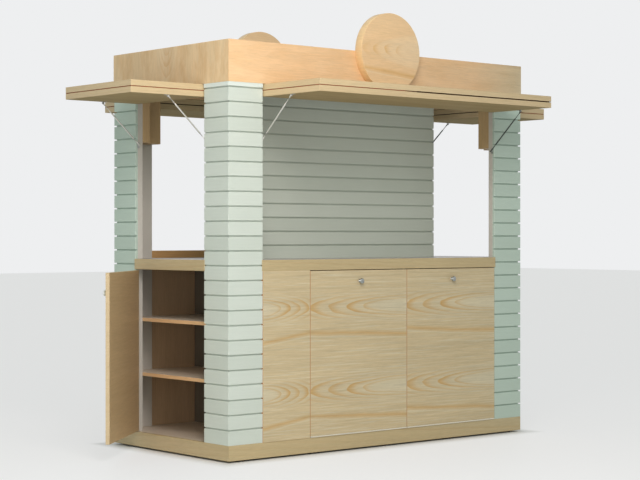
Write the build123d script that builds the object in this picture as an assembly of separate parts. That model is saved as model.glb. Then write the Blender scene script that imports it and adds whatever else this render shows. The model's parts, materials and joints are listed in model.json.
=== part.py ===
from build123d import *
import math
import os

# A free-standing sales kiosk: a low cabinet on a plinth, four L-shaped corner posts clad in
# flat boards, a counter right round, a clad centre wall on it, and a header box on top.
# Four double-leaf hatches are folded open under the header, held up by gas stays.
# All sizes are in millimetres. X runs along the kiosk, the front is at -Y, and Z is up.
# The origin is on the floor, under the middle of the kiosk.

# Overall plan, over the post cladding
kiosk_length = 2272.0
kiosk_depth = 1104.0

# Plinth and base
toe_gap = 10.0
plinth_height = 83.0
plinth_thickness = 22.0
bearer_count = 5
bearer_width = 60.0
bearer_end_inset = 70.0
floor_thickness = 18.0

# Corner posts and their cladding
long_leg_width = 232.0
end_leg_width = 220.0
leg_thickness = 50.0
cladding_thickness = 16.0
board_exposure = 80.0
board_rows = 24
cap_height = 28.0
cap_overhang = 3.0

# Header box and sign discs
header_height = 227.0
header_overhang = 3.0
header_thickness = 22.0
ceiling_recess = 30.0
ceiling_thickness = 12.0
roof_thickness = 18.0
disc_above_hatch = 1.0
disc_thickness = 56.0
front_disc_from_middle = -12.0
back_disc_from_middle = -38.0

# Counter, its edge band and the raised ledge at the back
counter_height = 1084.0
counter_thickness = 20.0
band_height = 60.0
band_thickness = 20.0
band_proud = 3.0
band_lap = 6.0
ledge_height = 44.0
ledge_thickness = 24.0

# Cabinet doors, fixed panels and what is inside
door_thickness = 22.0
door_gap = 6.0
fixed_panel_width = 331.0
partition_distance = 560.0
partition_thickness = 18.0
shelf_thickness = 20.0
lower_shelf_underside = 410.0
upper_shelf_underside = 724.0

# Long hinges under the drop doors
strip_pin_radius = 1.6
strip_knuckle_radius = 4.0
strip_leaf_thickness = 1.5
strip_leaf_depth = 15.0
strip_knuckle_count = 5
knuckle_gap = 1.0
pin_clearance = 0.3

# Butt hinges of the side door
butt_pin_radius = 2.6
butt_knuckle_radius = 5.5
butt_leaf_thickness = 2.0
butt_leaf_depth = 18.0
butt_height = 90.0
butt_stand_off = 3.0
butt_end_distance = 50.0
side_door_open_angle = 48.0

# Knobs
knob_head_radius = 16.0
knob_stem_radius = 6.0
knob_length = 26.0
knob_head_depth = 13.0
knob_bevel = 5.0
knob_sides = 24
drop_knob_below_top = 59.0
side_knob_below_top = 111.0
side_knob_from_edge = 52.0

# Folded hatches
flap_projection = 470.0
flap_tuck = 14.0
flap_side_gap = 8.0
leaf_thickness = 32.0
fold_gap = 4.0
head_strip_thickness = 1.5
fold_hinge_count = 3
fold_hinge_width = 60.0
fold_hinge_depth = 30.0
fold_hinge_set_back = 30.0

# Gas stays of the hatches, a tube between a thin rod at the post and a thin neck at the hatch
stay_tube_radius = 4.0
stay_rod_radius = 2.0
stay_rod_length = 52.0
stay_neck_length = 60.0
stay_eye_length = 12.0
stay_eye_depth = 8.0
stay_eye_width = 7.0
stay_stand_off = 11.0
stay_stud_width = 5.0
stay_foot_inset = 20.0
stay_foot_below_header = 306.0
stay_head_reach = 228.0
stay_head_drop = 8.0
stay_plate_thickness = 2.0
stay_plate_width = 14.0
stay_plate_length = 34.0

# Head blocks inside the posts
head_block_drop = 289.0
head_block_width = 90.0
long_side_block_thickness = 88.0
short_side_block_thickness = 51.0

# Centre wall
wall_thickness = 336.0
wall_end_gap = 376.0

# Levels and lines worked out from the sizes
half_length = kiosk_length / 2
half_depth = kiosk_depth / 2
plinth_top = toe_gap + plinth_height
cladding_top = plinth_top + board_rows * board_exposure
header_bottom = cladding_top + cap_height
header_top = header_bottom + header_height
disc_radius = header_height - disc_above_hatch
ceiling_underside = header_bottom + ceiling_recess
band_bottom = counter_height - band_height
counter_underside = counter_height - counter_thickness
door_bottom = plinth_top + 2 * strip_knuckle_radius + pin_clearance
door_top = band_bottom - door_gap
front_opening = kiosk_length - 2 * long_leg_width
side_opening = kiosk_depth - 2 * end_leg_width
opening_left = long_leg_width - half_length
opening_front = end_leg_width - half_depth
panel_face = -half_depth - band_proud
drop_door_width = (front_opening - fixed_panel_width - 3 * door_gap) / 2
first_door_left = opening_left + fixed_panel_width + door_gap
hinge_line_z = plinth_top + strip_knuckle_radius
panel_back_inset = door_thickness - band_proud + door_gap
leaf_underside = header_bottom - head_strip_thickness - 2 * leaf_thickness - fold_gap


def slab(x_low, x_high, y_low, y_high, z_low, z_high):
    """A plain board between two corners."""
    middle = Pos((x_low + x_high) / 2, (y_low + y_high) / 2, (z_low + z_high) / 2)
    return middle * Box(x_high - x_low, y_high - y_low, z_high - z_low)


def group(solids):
    """Several separate pieces kept as one sub-part."""
    return Compound(children=[solid for piece in solids for solid in piece.solids()])


def across(shape):
    """The same piece on the other end of the kiosk."""
    return mirror(shape, about=Plane.YZ)


def behind(shape):
    """The same piece on the back of the kiosk."""
    return mirror(shape, about=Plane.XZ)


def both_ends(shape):
    return [shape, across(shape)]


def both_sides(shape):
    return [shape, behind(shape)]


def at_four_corners(shape):
    return both_ends(shape) + both_ends(behind(shape))


def mitred_board(half_run, face, thickness, z_low, z_high):
    """A board along X with its outer face at -face, cut at 45 degrees at both ends."""
    outline = Polyline(
        (-half_run, -face),
        (half_run, -face),
        (half_run - thickness, thickness - face),
        (thickness - half_run, thickness - face),
        close=True,
    )
    return Pos(0, 0, z_low) * extrude(make_face(outline), z_high - z_low)


def board_ring(inset, thickness, z_low, z_high):
    """Long boards and end boards of a mitred ring, with the given inset from the plan."""
    run = half_length - inset
    face = half_depth - inset
    long_board = mitred_board(run, face, thickness, z_low, z_high)
    end_board = Rot(0, 0, -90) * mitred_board(face, run, thickness, z_low, z_high)
    return group(both_sides(long_board)), group(both_ends(end_board))


def corner_piece(outer_inset, inner_inset, z_low, z_high):
    """An L in plan in the front left corner, between two lines inside the outer faces."""
    left = -half_length + outer_inset
    front = -half_depth + outer_inset
    wall = inner_inset - outer_inset
    long_leg = slab(left, opening_left, front, front + wall, z_low, z_high)
    short_leg = slab(left, left + wall, front, opening_front, z_low, z_high)
    return long_leg + short_leg


def make_base():
    """Plinth boards hung on cross bearers, with the cabinet's floor board flush between them."""
    plinth_long, plinth_ends = board_ring(0, plinth_thickness, toe_gap, plinth_top)
    first = -half_length + bearer_end_inset + bearer_width / 2
    step = -2 * first / (bearer_count - 1)
    inner_x = half_length - plinth_thickness
    inner_y = half_depth - plinth_thickness
    floor_underside = plinth_top - floor_thickness
    bearers = [
        slab(
            first + i * step - bearer_width / 2,
            first + i * step + bearer_width / 2,
            -inner_y,
            inner_y,
            0,
            floor_underside,
        )
        for i in range(bearer_count)
    ]
    floor = slab(-inner_x, inner_x, -inner_y, inner_y, floor_underside, plinth_top)
    return {
        "plinth_long_boards": plinth_long,
        "plinth_end_boards": plinth_ends,
        "base_bearers": group(bearers),
        "base_floor": floor,
    }


def make_posts():
    """Four L-shaped posts, each with its cladding, a cap, and head blocks behind the legs."""
    core = corner_piece(cladding_thickness, leg_thickness, plinth_top, cladding_top)
    skin = corner_piece(0, cladding_thickness, plinth_top, cladding_top)
    cap = corner_piece(-cap_overhang, leg_thickness, cladding_top, header_bottom)
    names = ("front_left", "front_right", "back_left", "back_right")
    nodes = {}
    for name, post, cladding in zip(names, at_four_corners(core), at_four_corners(skin)):
        nodes["post_" + name] = post
        nodes["cladding_" + name] = cladding
    nodes["post_caps"] = group(at_four_corners(cap))
    block_bottom = header_bottom - head_block_drop
    long_block = slab(
        opening_left - head_block_width,
        opening_left,
        leg_thickness - half_depth,
        leg_thickness + long_side_block_thickness - half_depth,
        block_bottom,
        ceiling_underside,
    )
    short_block = slab(
        leg_thickness - half_length,
        leg_thickness + short_side_block_thickness - half_length,
        opening_front - head_block_width,
        opening_front,
        block_bottom,
        ceiling_underside,
    )
    nodes["post_head_blocks"] = group(at_four_corners(long_block) + at_four_corners(short_block))
    return nodes


def make_header():
    """A box of four mitred boards, closed by a ceiling and a roof board, with two discs.

    The discs are centred on the header's top edge, so half of each stands above the box."""
    header_long, header_ends = board_ring(-header_overhang, header_thickness, header_bottom, header_top)
    inner_x = half_length + header_overhang - header_thickness
    inner_y = half_depth + header_overhang - header_thickness
    ceiling = slab(
        -inner_x, inner_x, -inner_y, inner_y, ceiling_underside, ceiling_underside + ceiling_thickness
    )
    roof = slab(-inner_x, inner_x, -inner_y, inner_y, header_top - roof_thickness, header_top)
    disc_y = -half_depth - header_overhang - disc_thickness / 2
    disc = Rot(90, 0, 0) * Cylinder(disc_radius, disc_thickness)
    front_disc = Pos(front_disc_from_middle, disc_y, header_top) * disc
    back_disc = Pos(back_disc_from_middle, -disc_y, header_top) * disc
    return {
        "header_long_boards": header_long,
        "header_end_boards": header_ends,
        "ceiling_board": ceiling,
        "roof_board": roof,
        "sign_disc_front": front_disc,
        "sign_disc_back": back_disc,
    }


def band_board(opening, face):
    """An edge band in one opening along X, with thin ends that lap over the posts' cladding."""
    body = slab(
        -opening / 2,
        opening / 2,
        -face - band_proud,
        band_thickness - band_proud - face,
        band_bottom,
        counter_height,
    )
    lap = slab(
        -opening / 2 - band_lap,
        opening / 2 + band_lap,
        -face - band_proud,
        -face,
        band_bottom,
        counter_height,
    )
    return body + lap


def make_counter():
    """The counter board runs between the posts out to an edge band on all four sides."""
    inner_x = half_length - leg_thickness
    inner_y = half_depth - leg_thickness
    edge = band_thickness - band_proud
    z_low, z_high = counter_underside, counter_height
    board = slab(-inner_x, inner_x, -inner_y, inner_y, z_low, z_high)
    board += slab(opening_left, -opening_left, edge - half_depth, half_depth - edge, z_low, z_high)
    board += slab(edge - half_length, half_length - edge, opening_front, -opening_front, z_low, z_high)
    long_band = band_board(front_opening, half_depth)
    end_band = Rot(0, 0, -90) * band_board(side_opening, half_length)
    ledge = slab(
        opening_left,
        -opening_left,
        half_depth - edge - ledge_thickness,
        half_depth - edge,
        counter_height,
        counter_height + ledge_height,
    )
    return {
        "counter_board": board,
        "counter_bands": group(both_sides(long_band) + both_ends(end_band)),
        "counter_back_ledge": ledge,
    }


def make_cabinet():
    """Fixed panels beside the doors, the cross partitions and the shelves of the end cabinet."""
    panel_back = panel_face + door_thickness
    fixed = slab(
        opening_left, opening_left + fixed_panel_width, panel_face, panel_back, plinth_top, band_bottom
    )
    end_face = -half_length - band_proud
    end_panel = slab(
        end_face, end_face + door_thickness, opening_front, -opening_front, plinth_top, band_bottom
    )
    inner_x = half_length - leg_thickness
    inner_y = half_depth - leg_thickness
    reach = half_depth - panel_back_inset
    partition_x = partition_distance - half_length
    middle_x = first_door_left + drop_door_width + door_gap / 2
    partition = slab(
        partition_x, partition_x + partition_thickness, -reach, reach, plinth_top, counter_underside
    )
    divider = slab(
        middle_x - partition_thickness / 2,
        middle_x + partition_thickness / 2,
        -reach,
        reach,
        plinth_top,
        counter_underside,
    )
    shelves = [
        slab(-inner_x, partition_x, -inner_y, inner_y, underside, underside + shelf_thickness)
        for underside in (lower_shelf_underside, upper_shelf_underside)
    ]
    return {
        "fixed_panel_front": fixed,
        "fixed_panel_back": behind(fixed),
        "end_panel_right": across(end_panel),
        "cabinet_partition": partition,
        "cabinet_middle_divider": divider,
        "cabinet_shelves": group(shelves),
    }


def knob():
    """A knob standing on the plane z = 0, with its axis along +Z.

    Its round is cut as a fine polygon, which keeps these small pieces light."""
    head_start = knob_length - knob_head_depth
    stem = extrude(RegularPolygon(knob_stem_radius, knob_sides), head_start)
    head = extrude(RegularPolygon(knob_head_radius, knob_sides), knob_head_depth)
    head = chamfer(head.edges().group_by(Axis.Z)[-1], knob_bevel)
    return stem + Pos(0, 0, head_start) * head


def strip_hinge(length, fixed_half):
    """One half of a long strip hinge along X with its pin at the origin, on +Y of it."""
    pitch = length / strip_knuckle_count
    start = -length / 2
    inner = strip_knuckle_radius + pin_clearance
    if fixed_half:
        leaf_low = -strip_knuckle_radius
    else:
        leaf_low = inner - strip_leaf_thickness
    leaf_high = leaf_low + strip_leaf_thickness
    half = slab(start, -start, inner, inner + strip_leaf_depth, leaf_low, leaf_high)
    for i in range(0 if fixed_half else 1, strip_knuckle_count, 2):
        low = start + i * pitch + knuckle_gap / 2
        high = start + (i + 1) * pitch - knuckle_gap / 2
        centre = Pos((low + high) / 2, 0, 0) * Rot(0, 90, 0)
        half += centre * Cylinder(strip_knuckle_radius, high - low)
        half += slab(low, high, 0, inner, leaf_low, leaf_high)
    pin_hole = strip_pin_radius + (0 if fixed_half else pin_clearance)
    pin = Rot(0, 90, 0) * Cylinder(pin_hole, length - knuckle_gap)
    if fixed_half:
        return half + pin
    return half - pin


def make_drop_doors():
    """Two doors at the front that hang on strip hinges along their lower edges."""
    nodes = {}
    fixed_halves = []
    back_doors = []
    back_knobs = []
    for index, name in enumerate(("left", "right")):
        left = first_door_left + index * (drop_door_width + door_gap)
        right = left + drop_door_width
        middle = (left + right) / 2
        panel_back = panel_face + door_thickness
        hinge_place = Pos(middle, panel_face, hinge_line_z)
        knob_place = Pos(middle, panel_face, door_top - drop_knob_below_top) * Rot(90, 0, 0)
        door_knob = knob_place * knob()
        nodes["drop_door_" + name] = slab(left, right, panel_face, panel_back, door_bottom, door_top)
        nodes["drop_door_hinge_" + name] = hinge_place * strip_hinge(drop_door_width, False)
        nodes["drop_door_knob_" + name] = door_knob
        fixed_halves.append(hinge_place * strip_hinge(drop_door_width, True))
        back_doors.append(behind(slab(left, right, panel_face, panel_back, plinth_top, band_bottom)))
        back_knobs.append(behind(door_knob))
    nodes["drop_door_fixed_hinges"] = group(fixed_halves)
    nodes["back_doors"] = group(back_doors)
    nodes["back_door_knobs"] = group(back_knobs)
    return nodes


def butt_hinge(fixed_half):
    """One half of a butt hinge with its pin at the origin along Z, with the leaf on +X of it."""
    third = butt_height / 3
    inner = butt_knuckle_radius + pin_clearance
    side = 1 if fixed_half else -1
    plate_centre = side * (butt_stand_off - butt_leaf_thickness / 2)
    plate_low = plate_centre - butt_leaf_thickness / 2
    plate_high = plate_centre + butt_leaf_thickness / 2
    half = slab(inner, inner + butt_leaf_depth, plate_low, plate_high, -butt_height / 2, butt_height / 2)
    for i in (0, 2) if fixed_half else (1,):
        low = -butt_height / 2 + i * third + knuckle_gap / 2
        high = low + third - knuckle_gap
        half += Pos(0, 0, (low + high) / 2) * Cylinder(butt_knuckle_radius, high - low)
        half += slab(0, inner, plate_low, plate_high, low, high)
    hole = butt_pin_radius + (0 if fixed_half else pin_clearance)
    pin = Cylinder(hole, butt_height - knuckle_gap)
    if fixed_half:
        return half + pin
    return half - pin


def make_side_door():
    """The door of the end cabinet, hinged on the back left post and standing open."""
    hinge_y = -opening_front - butt_stand_off
    face = -half_length - band_proud
    hinge_x = face - butt_knuckle_radius
    free_y = opening_front + door_gap
    near_y = hinge_y - butt_stand_off
    low = plinth_top + door_gap
    door = slab(face, face + door_thickness, free_y, near_y, low, door_top)
    first = low + butt_end_distance + butt_height / 2
    last = door_top - butt_end_distance - butt_height / 2
    butt_heights = (first, (first + last) / 2, last)
    knob_spot = Pos(face, free_y + side_knob_from_edge, door_top - side_knob_below_top)
    door_knob = knob_spot * Rot(0, -90, 0) * knob()
    fixed = [Pos(hinge_x, hinge_y, z) * butt_hinge(True) for z in butt_heights]
    moving = [Pos(hinge_x, hinge_y, z) * butt_hinge(False) for z in butt_heights]

    def swing(shape):
        opened = Rot(0, 0, -side_door_open_angle) * (Pos(-hinge_x, -hinge_y, 0) * shape)
        return Pos(hinge_x, hinge_y, 0) * opened

    return {
        "side_door": swing(door),
        "side_door_knob": swing(door_knob),
        "side_door_hinges": swing(group(moving)),
        "side_door_fixed_hinges": group(fixed),
    }


def make_wall():
    """The centre wall stands on the counter and is clad on both long faces."""
    half_run = half_length - wall_end_gap
    half_core = wall_thickness / 2 - cladding_thickness
    core = slab(-half_run, half_run, -half_core, half_core, counter_height, ceiling_underside)
    skin = slab(
        -half_run, half_run, -wall_thickness / 2, -half_core, counter_height, ceiling_underside
    )
    return {"centre_wall": core, "cladding_centre_wall": group(both_sides(skin))}


def folded_flap(opening, face):
    """Two leaves folded on each other under the header, with hinge plates, facing -Y."""
    half_run = opening / 2 - flap_side_gap
    top = header_bottom - head_strip_thickness
    back = flap_tuck - face
    front = -face - flap_projection
    upper = slab(-half_run, half_run, front, back, top - leaf_thickness, top)
    lower_top = top - leaf_thickness - fold_gap
    lower = slab(-half_run, half_run, front, back, lower_top - leaf_thickness, lower_top)
    head_strip = slab(-half_run, half_run, -face - header_overhang, back, top, header_bottom)
    plates = []
    for i in range(fold_hinge_count):
        x = (i + 0.5) * 2 * half_run / fold_hinge_count - half_run
        plates.append(slab(
            x - fold_hinge_width / 2,
            x + fold_hinge_width / 2,
            front + fold_hinge_set_back,
            front + fold_hinge_set_back + fold_hinge_depth,
            lower_top,
            lower_top + fold_gap,
        ))
    return [upper, lower], [head_strip] + plates


def between(start, end, x, radius):
    """A round bar in the plane at x, from one (y, z) point to another."""
    middle = Vector(x, (start[0] + end[0]) / 2, (start[1] + end[1]) / 2)
    along = Vector(0, end[0] - start[0], end[1] - start[1])
    return Plane(middle, z_dir=along) * Cylinder(radius, along.length)


def stay(opening, face):
    """A gas stay at the left edge of a hatch, from the post's end to a plate under the leaf."""
    wall_x = -opening / 2
    axis_x = wall_x + stay_stand_off
    plate = stay_plate_thickness
    foot = (stay_foot_inset - face, header_bottom - stay_foot_below_header)
    head = (-face - stay_head_reach, leaf_underside - stay_head_drop)
    length = ((foot[0] - head[0]) ** 2 + (foot[1] - head[1]) ** 2) ** 0.5
    tube_low, tube_high = [
        (foot[0] + share * (head[0] - foot[0]), foot[1] + share * (head[1] - foot[1]))
        for share in (stay_rod_length / length, 1 - stay_neck_length / length)
    ]
    unit = between(foot, tube_low, axis_x, stay_rod_radius)
    unit += between(tube_low, tube_high, axis_x, stay_tube_radius)
    unit += between(tube_high, head, axis_x, stay_rod_radius)
    lean = Rot(math.degrees(math.atan2(head[1] - foot[1], head[0] - foot[0])), 0, 0)
    for y, z in (foot, head):
        unit += Pos(axis_x, y, z) * lean * Box(stay_eye_width, stay_eye_length, stay_eye_depth)
    half_stud = stay_stud_width / 2
    stud_reach = axis_x - stay_eye_width / 2
    unit += slab(
        wall_x, stud_reach, foot[0] - half_stud, foot[0] + half_stud, foot[1] - half_stud, foot[1] + half_stud
    )
    unit += slab(
        wall_x,
        wall_x + plate,
        foot[0] - stay_plate_width / 2,
        foot[0] + stay_plate_width / 2,
        foot[1] - stay_plate_length / 2,
        foot[1] + stay_plate_length / 2,
    )
    lug_x = axis_x + stay_eye_width / 2
    unit += slab(
        lug_x,
        lug_x + plate,
        head[0] - stay_plate_width / 2,
        head[0] + stay_plate_width / 2,
        head[1] - stay_eye_depth / 2,
        leaf_underside,
    )
    unit += slab(
        lug_x,
        lug_x + stay_plate_width,
        head[0] - stay_plate_length / 2,
        head[0] + stay_plate_length / 2,
        leaf_underside - plate,
        leaf_underside,
    )
    return unit


def make_flaps():
    """Four hatches, one on each side of the kiosk."""
    long_leaves, long_plates = folded_flap(front_opening, half_depth)
    end_leaves, end_plates = folded_flap(side_opening, half_length)
    turned = Rot(0, 0, -90)
    end_leaves = [turned * leaf for leaf in end_leaves]
    plates = []
    for plate in long_plates:
        plates += both_sides(plate)
    for plate in end_plates:
        plates += both_ends(turned * plate)
    stays = at_four_corners(stay(front_opening, half_depth))
    stays += at_four_corners(turned * stay(side_opening, half_length))
    return {
        "flap_front": group(long_leaves),
        "flap_back": group([behind(leaf) for leaf in long_leaves]),
        "flap_left": group(end_leaves),
        "flap_right": group([across(leaf) for leaf in end_leaves]),
        "flap_hinge_plates": group(plates),
        "flap_stays": group(stays),
    }


os.makedirs("parts", exist_ok=True)
sections = (
    make_base,
    make_posts,
    make_header,
    make_counter,
    make_cabinet,
    make_drop_doors,
    make_side_door,
    make_wall,
    make_flaps,
)
for make_section in sections:
    for node_name, solid in make_section().items():
        export_step(solid, "parts/" + node_name + ".step")
        print(node_name)
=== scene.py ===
# %% [markdown]
# A free standing sales kiosk: cupboards below, a counter right round, four clad corner posts,
# hatches folded and held out under a header box, and a round sign disc front and back.
# The exact solids come ready made. This lesson dresses them in boards, veneer, paint and metal.

# %% Load the solid model
import json
import math
from types import SimpleNamespace

import bmesh
import bpy
from mathutils import Matrix, Vector


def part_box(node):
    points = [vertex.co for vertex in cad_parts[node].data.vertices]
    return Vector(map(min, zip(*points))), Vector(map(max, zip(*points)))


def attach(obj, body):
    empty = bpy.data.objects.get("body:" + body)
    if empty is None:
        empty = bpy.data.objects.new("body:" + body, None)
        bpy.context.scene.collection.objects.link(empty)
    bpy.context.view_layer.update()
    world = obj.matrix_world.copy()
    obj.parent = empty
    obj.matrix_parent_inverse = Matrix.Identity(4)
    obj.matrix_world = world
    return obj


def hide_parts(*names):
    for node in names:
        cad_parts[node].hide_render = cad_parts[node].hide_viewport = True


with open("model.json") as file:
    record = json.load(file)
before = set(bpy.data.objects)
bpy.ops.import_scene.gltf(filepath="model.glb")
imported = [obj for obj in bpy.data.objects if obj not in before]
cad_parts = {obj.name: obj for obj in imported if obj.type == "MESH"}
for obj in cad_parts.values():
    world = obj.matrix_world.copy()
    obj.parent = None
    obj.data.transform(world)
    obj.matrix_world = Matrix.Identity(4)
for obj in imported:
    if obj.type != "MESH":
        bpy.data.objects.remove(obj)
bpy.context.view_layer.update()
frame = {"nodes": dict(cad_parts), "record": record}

# %% [markdown]
# The stage comes first, so that every later picture is taken from the same place. The view is
# level, a little above the counter and ten metres away, so upright edges stay upright. Instead
# of tilting the camera, its picture is shifted until the horizon sits in the right row.

# %% Camera
EYE = (-6.5012, -7.6373, 1.2152)
TURN = 0.703
PIXEL_FOCUS = 1663.78
HORIZON_ROW = 235.857
PICTURE = (640, 480)

camera_data = bpy.data.cameras.new("view")
camera_data.sensor_fit = "HORIZONTAL"
camera_data.sensor_width = 36.0
camera_data.lens = PIXEL_FOCUS * camera_data.sensor_width / PICTURE[0]
camera_data.shift_y = (HORIZON_ROW - PICTURE[1] / 2) / PICTURE[0]
camera_data.clip_end = 200.0
camera = bpy.data.objects.new("view", camera_data)
camera.location = EYE
camera.rotation_euler = (math.pi / 2, 0, -TURN)
bpy.context.scene.collection.objects.link(camera)
bpy.context.scene.camera = camera
bpy.context.scene.view_settings.view_transform = "Standard"
print("lens", round(camera_data.lens, 2))

# %% [markdown]
# Every material here is a small tree of nodes. These helpers add one node each, set its plain
# values and join it up, so that the recipes further down stay short enough to read.


# %% Node helpers
def new_material(name):
    """A material whose tree holds only its shader and its output."""
    material = bpy.data.materials.new(name)
    material.use_nodes = True
    nodes = material.node_tree.nodes
    nodes.clear()
    shader = nodes.new("ShaderNodeBsdfPrincipled")
    output = nodes.new("ShaderNodeOutputMaterial")
    output.name = "Output"
    material.node_tree.links.new(shader.outputs["BSDF"], output.inputs["Surface"])
    return material, shader


def add(material, kind, **settings):
    """Adds a node and sets its properties and plain input values."""
    node = material.node_tree.nodes.new(kind)
    for key, value in settings.items():
        if key in node.inputs:
            node.inputs[key].default_value = value
        else:
            setattr(node, key, value)
    return node


def join(material, source, target):
    material.node_tree.links.new(source, target)


def feed(material, socket, value):
    """A number or colour is set on the socket, and anything else is joined to it."""
    if isinstance(value, (int, float)):
        socket.default_value = value
    elif isinstance(value, tuple):
        socket.default_value = (*value, 1.0)[:4]
    else:
        join(material, value, socket)


def maths(material, operation, *values):
    node = add(material, "ShaderNodeMath", operation=operation)
    for socket, value in zip(node.inputs, values):
        feed(material, socket, value)
    return node.outputs["Value"]


def mixed(material, factor, first, second, blend="MIX"):
    """Mixes two colours, each a socket or plain numbers."""
    node = add(material, "ShaderNodeMix", data_type="RGBA", blend_type=blend)
    for index, value in ((0, factor), (6, first), (7, second)):
        feed(material, node.inputs[index], value)
    return node.outputs[2]


# %% [markdown]
# A ramp turns a number into a colour or a grey, and noise gives the number. The noise reads the
# piece's own coordinates, in metres, so a pattern has the same scale on every piece.


# %% Ramps and noise
def ramp(material, factor, *stops):
    """A colour ramp through (position, colour) stops. A single number stands for a grey."""
    node = add(material, "ShaderNodeValToRGB")
    join(material, factor, node.inputs["Fac"])
    elements = node.color_ramp.elements
    while len(elements) < len(stops):
        elements.new(0.5)
    for element, (position, colour) in zip(elements, stops):
        element.position = position
        element.color = (*colour, 1.0) if isinstance(colour, tuple) else (colour,) * 3 + (1.0,)
    return node.outputs["Color"]


def place(material, turn=0.0):
    """Object coordinates, turned about the upright if the piece stands at an angle."""
    vector = add(material, "ShaderNodeTexCoord").outputs["Object"]
    if turn:
        rotate = add(material, "ShaderNodeVectorRotate", rotation_type="Z_AXIS", Angle=turn)
        join(material, vector, rotate.inputs["Vector"])
        vector = rotate.outputs["Vector"]
    return vector


def split_axes(material, vector):
    """The three coordinates of a place, each as a socket."""
    split = add(material, "ShaderNodeSeparateXYZ")
    join(material, vector, split.inputs["Vector"])
    return split.outputs


def noise(material, vector, stretch, detail=3.0, rough=0.5):
    """Noise with its own number of waves a metre along each axis."""
    mapping = add(material, "ShaderNodeMapping")
    waves = stretch if isinstance(stretch, tuple) else (stretch,) * 3
    mapping.inputs["Scale"].default_value = waves
    join(material, vector, mapping.inputs["Vector"])
    node = add(material, "ShaderNodeTexNoise", Scale=1.0, Detail=detail, Roughness=rough)
    join(material, mapping.outputs["Vector"], node.inputs["Vector"])
    return node.outputs["Fac"]


def relief(material, shader, height, strength, distance=0.001):
    node = add(material, "ShaderNodeBump", Strength=strength, Distance=distance)
    join(material, height, node.inputs["Height"])
    join(material, node.outputs["Normal"], shader.inputs["Normal"])


def tone(red, green, blue):
    """A display colour from 0 to 255, as the linear numbers that a shader takes."""
    def linear(value):
        value /= 255
        return value / 12.92 if value <= 0.04045 else ((value + 0.055) / 1.055) ** 2.4
    return linear(red), linear(green), linear(blue)


print("white is", tone(255, 255, 255))

# %% [markdown]
# The floor is one pale tone. What the camera sees of it is partly its own glow, which keeps it
# pale right to the horizon without throwing more light on the kiosk. The rest is an ordinary
# surface, so the kiosk's shadow stays. The glow fades out close to the plinth, or it would
# wash out the dark line in which the kiosk meets the floor.

# %% Floor
FLOOR_HALF_SIZE = 40.0
FLOOR_GLOW = 0.6
FLOOR_FADE = 0.12


def seen_ray(nodes, links):
    """1 for what the camera, a gloss or a clear surface sees, and 0 for light on its way."""
    rays = nodes.new("ShaderNodeLightPath")
    total = rays.outputs["Is Camera Ray"]
    for name in ("Is Glossy Ray", "Is Transmission Ray"):
        together = nodes.new("ShaderNodeMath")
        together.operation = "MAXIMUM"
        links.new(total, together.inputs[0])
        links.new(rays.outputs[name], together.inputs[1])
        total = together.outputs[0]
    return total


def object_from(bm, name, *materials):
    """Turns a finished bmesh into an object at the origin."""
    mesh = bpy.data.meshes.new(name)
    bm.to_mesh(mesh)
    bm.free()
    made = bpy.data.objects.new(name, mesh)
    bpy.context.scene.collection.objects.link(made)
    for material in materials:
        mesh.materials.append(material)
    return made


floor_tone, floor_shader = new_material("floor_tone")
floor_shader.inputs["Base Color"].default_value = (*tone(226, 226, 224), 1.0)
floor_shader.inputs["Roughness"].default_value = 0.55
glow = add(floor_tone, "ShaderNodeEmission", Color=(*tone(250, 250, 250), 1.0), Strength=1.0)
tree = floor_tone.node_tree
share = maths(floor_tone, "MULTIPLY", seen_ray(tree.nodes, tree.links), FLOOR_GLOW)
axes = split_axes(floor_tone, place(floor_tone))
plinth_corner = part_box("plinth_long_boards")[1]
outside = [
    maths(floor_tone, "SUBTRACT", maths(floor_tone, "ABSOLUTE", axes[axis]), half)
    for axis, half in (("X", plinth_corner.x), ("Y", plinth_corner.y))
]
clear_of_plinth = maths(floor_tone, "MAXIMUM", *outside)
clear_of_plinth = maths(floor_tone, "MULTIPLY", clear_of_plinth, 1 / FLOOR_FADE)
fading = ramp(floor_tone, clear_of_plinth, (0.0, 0.0), (1.0, 1.0))
blend = add(floor_tone, "ShaderNodeMixShader")
join(floor_tone, maths(floor_tone, "MULTIPLY", share, fading), blend.inputs[0])
join(floor_tone, floor_shader.outputs["BSDF"], blend.inputs[1])
join(floor_tone, glow.outputs["Emission"], blend.inputs[2])
join(floor_tone, blend.outputs["Shader"], tree.nodes["Output"].inputs["Surface"])
floor_bm = bmesh.new()
bmesh.ops.create_grid(floor_bm, x_segments=1, y_segments=1, size=FLOOR_HALF_SIZE)
floor = object_from(floor_bm, "floor", floor_tone)
print("floor", floor.dimensions[:])

# %% [markdown]
# The world does two jobs. It lights the kiosk softly from all sides, in a slightly green white
# that keeps the shaded sides cool. What the camera sees of it is a plain pale backdrop.

# %% Surroundings
SOFT_LIGHT = (0.90, 1.0, 0.96, 1.0)
SOFT_LIGHT_STRENGTH = 0.42

world = bpy.data.worlds.new("surround")
world.use_nodes = True
world_nodes, world_links = world.node_tree.nodes, world.node_tree.links
lighting = world_nodes["Background"]
lighting.inputs["Color"].default_value = SOFT_LIGHT
lighting.inputs["Strength"].default_value = SOFT_LIGHT_STRENGTH
backdrop = world_nodes.new("ShaderNodeBackground")
backdrop.inputs["Color"].default_value = (*tone(238, 239, 240), 1.0)
choose = world_nodes.new("ShaderNodeMixShader")
world_links.new(seen_ray(world_nodes, world_links), choose.inputs[0])
world_links.new(lighting.outputs[0], choose.inputs[1])
world_links.new(backdrop.outputs[0], choose.inputs[2])
world_links.new(choose.outputs[0], world_nodes["World Output"].inputs["Surface"])
bpy.context.scene.world = world
print("surroundings", SOFT_LIGHT_STRENGTH)

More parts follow.
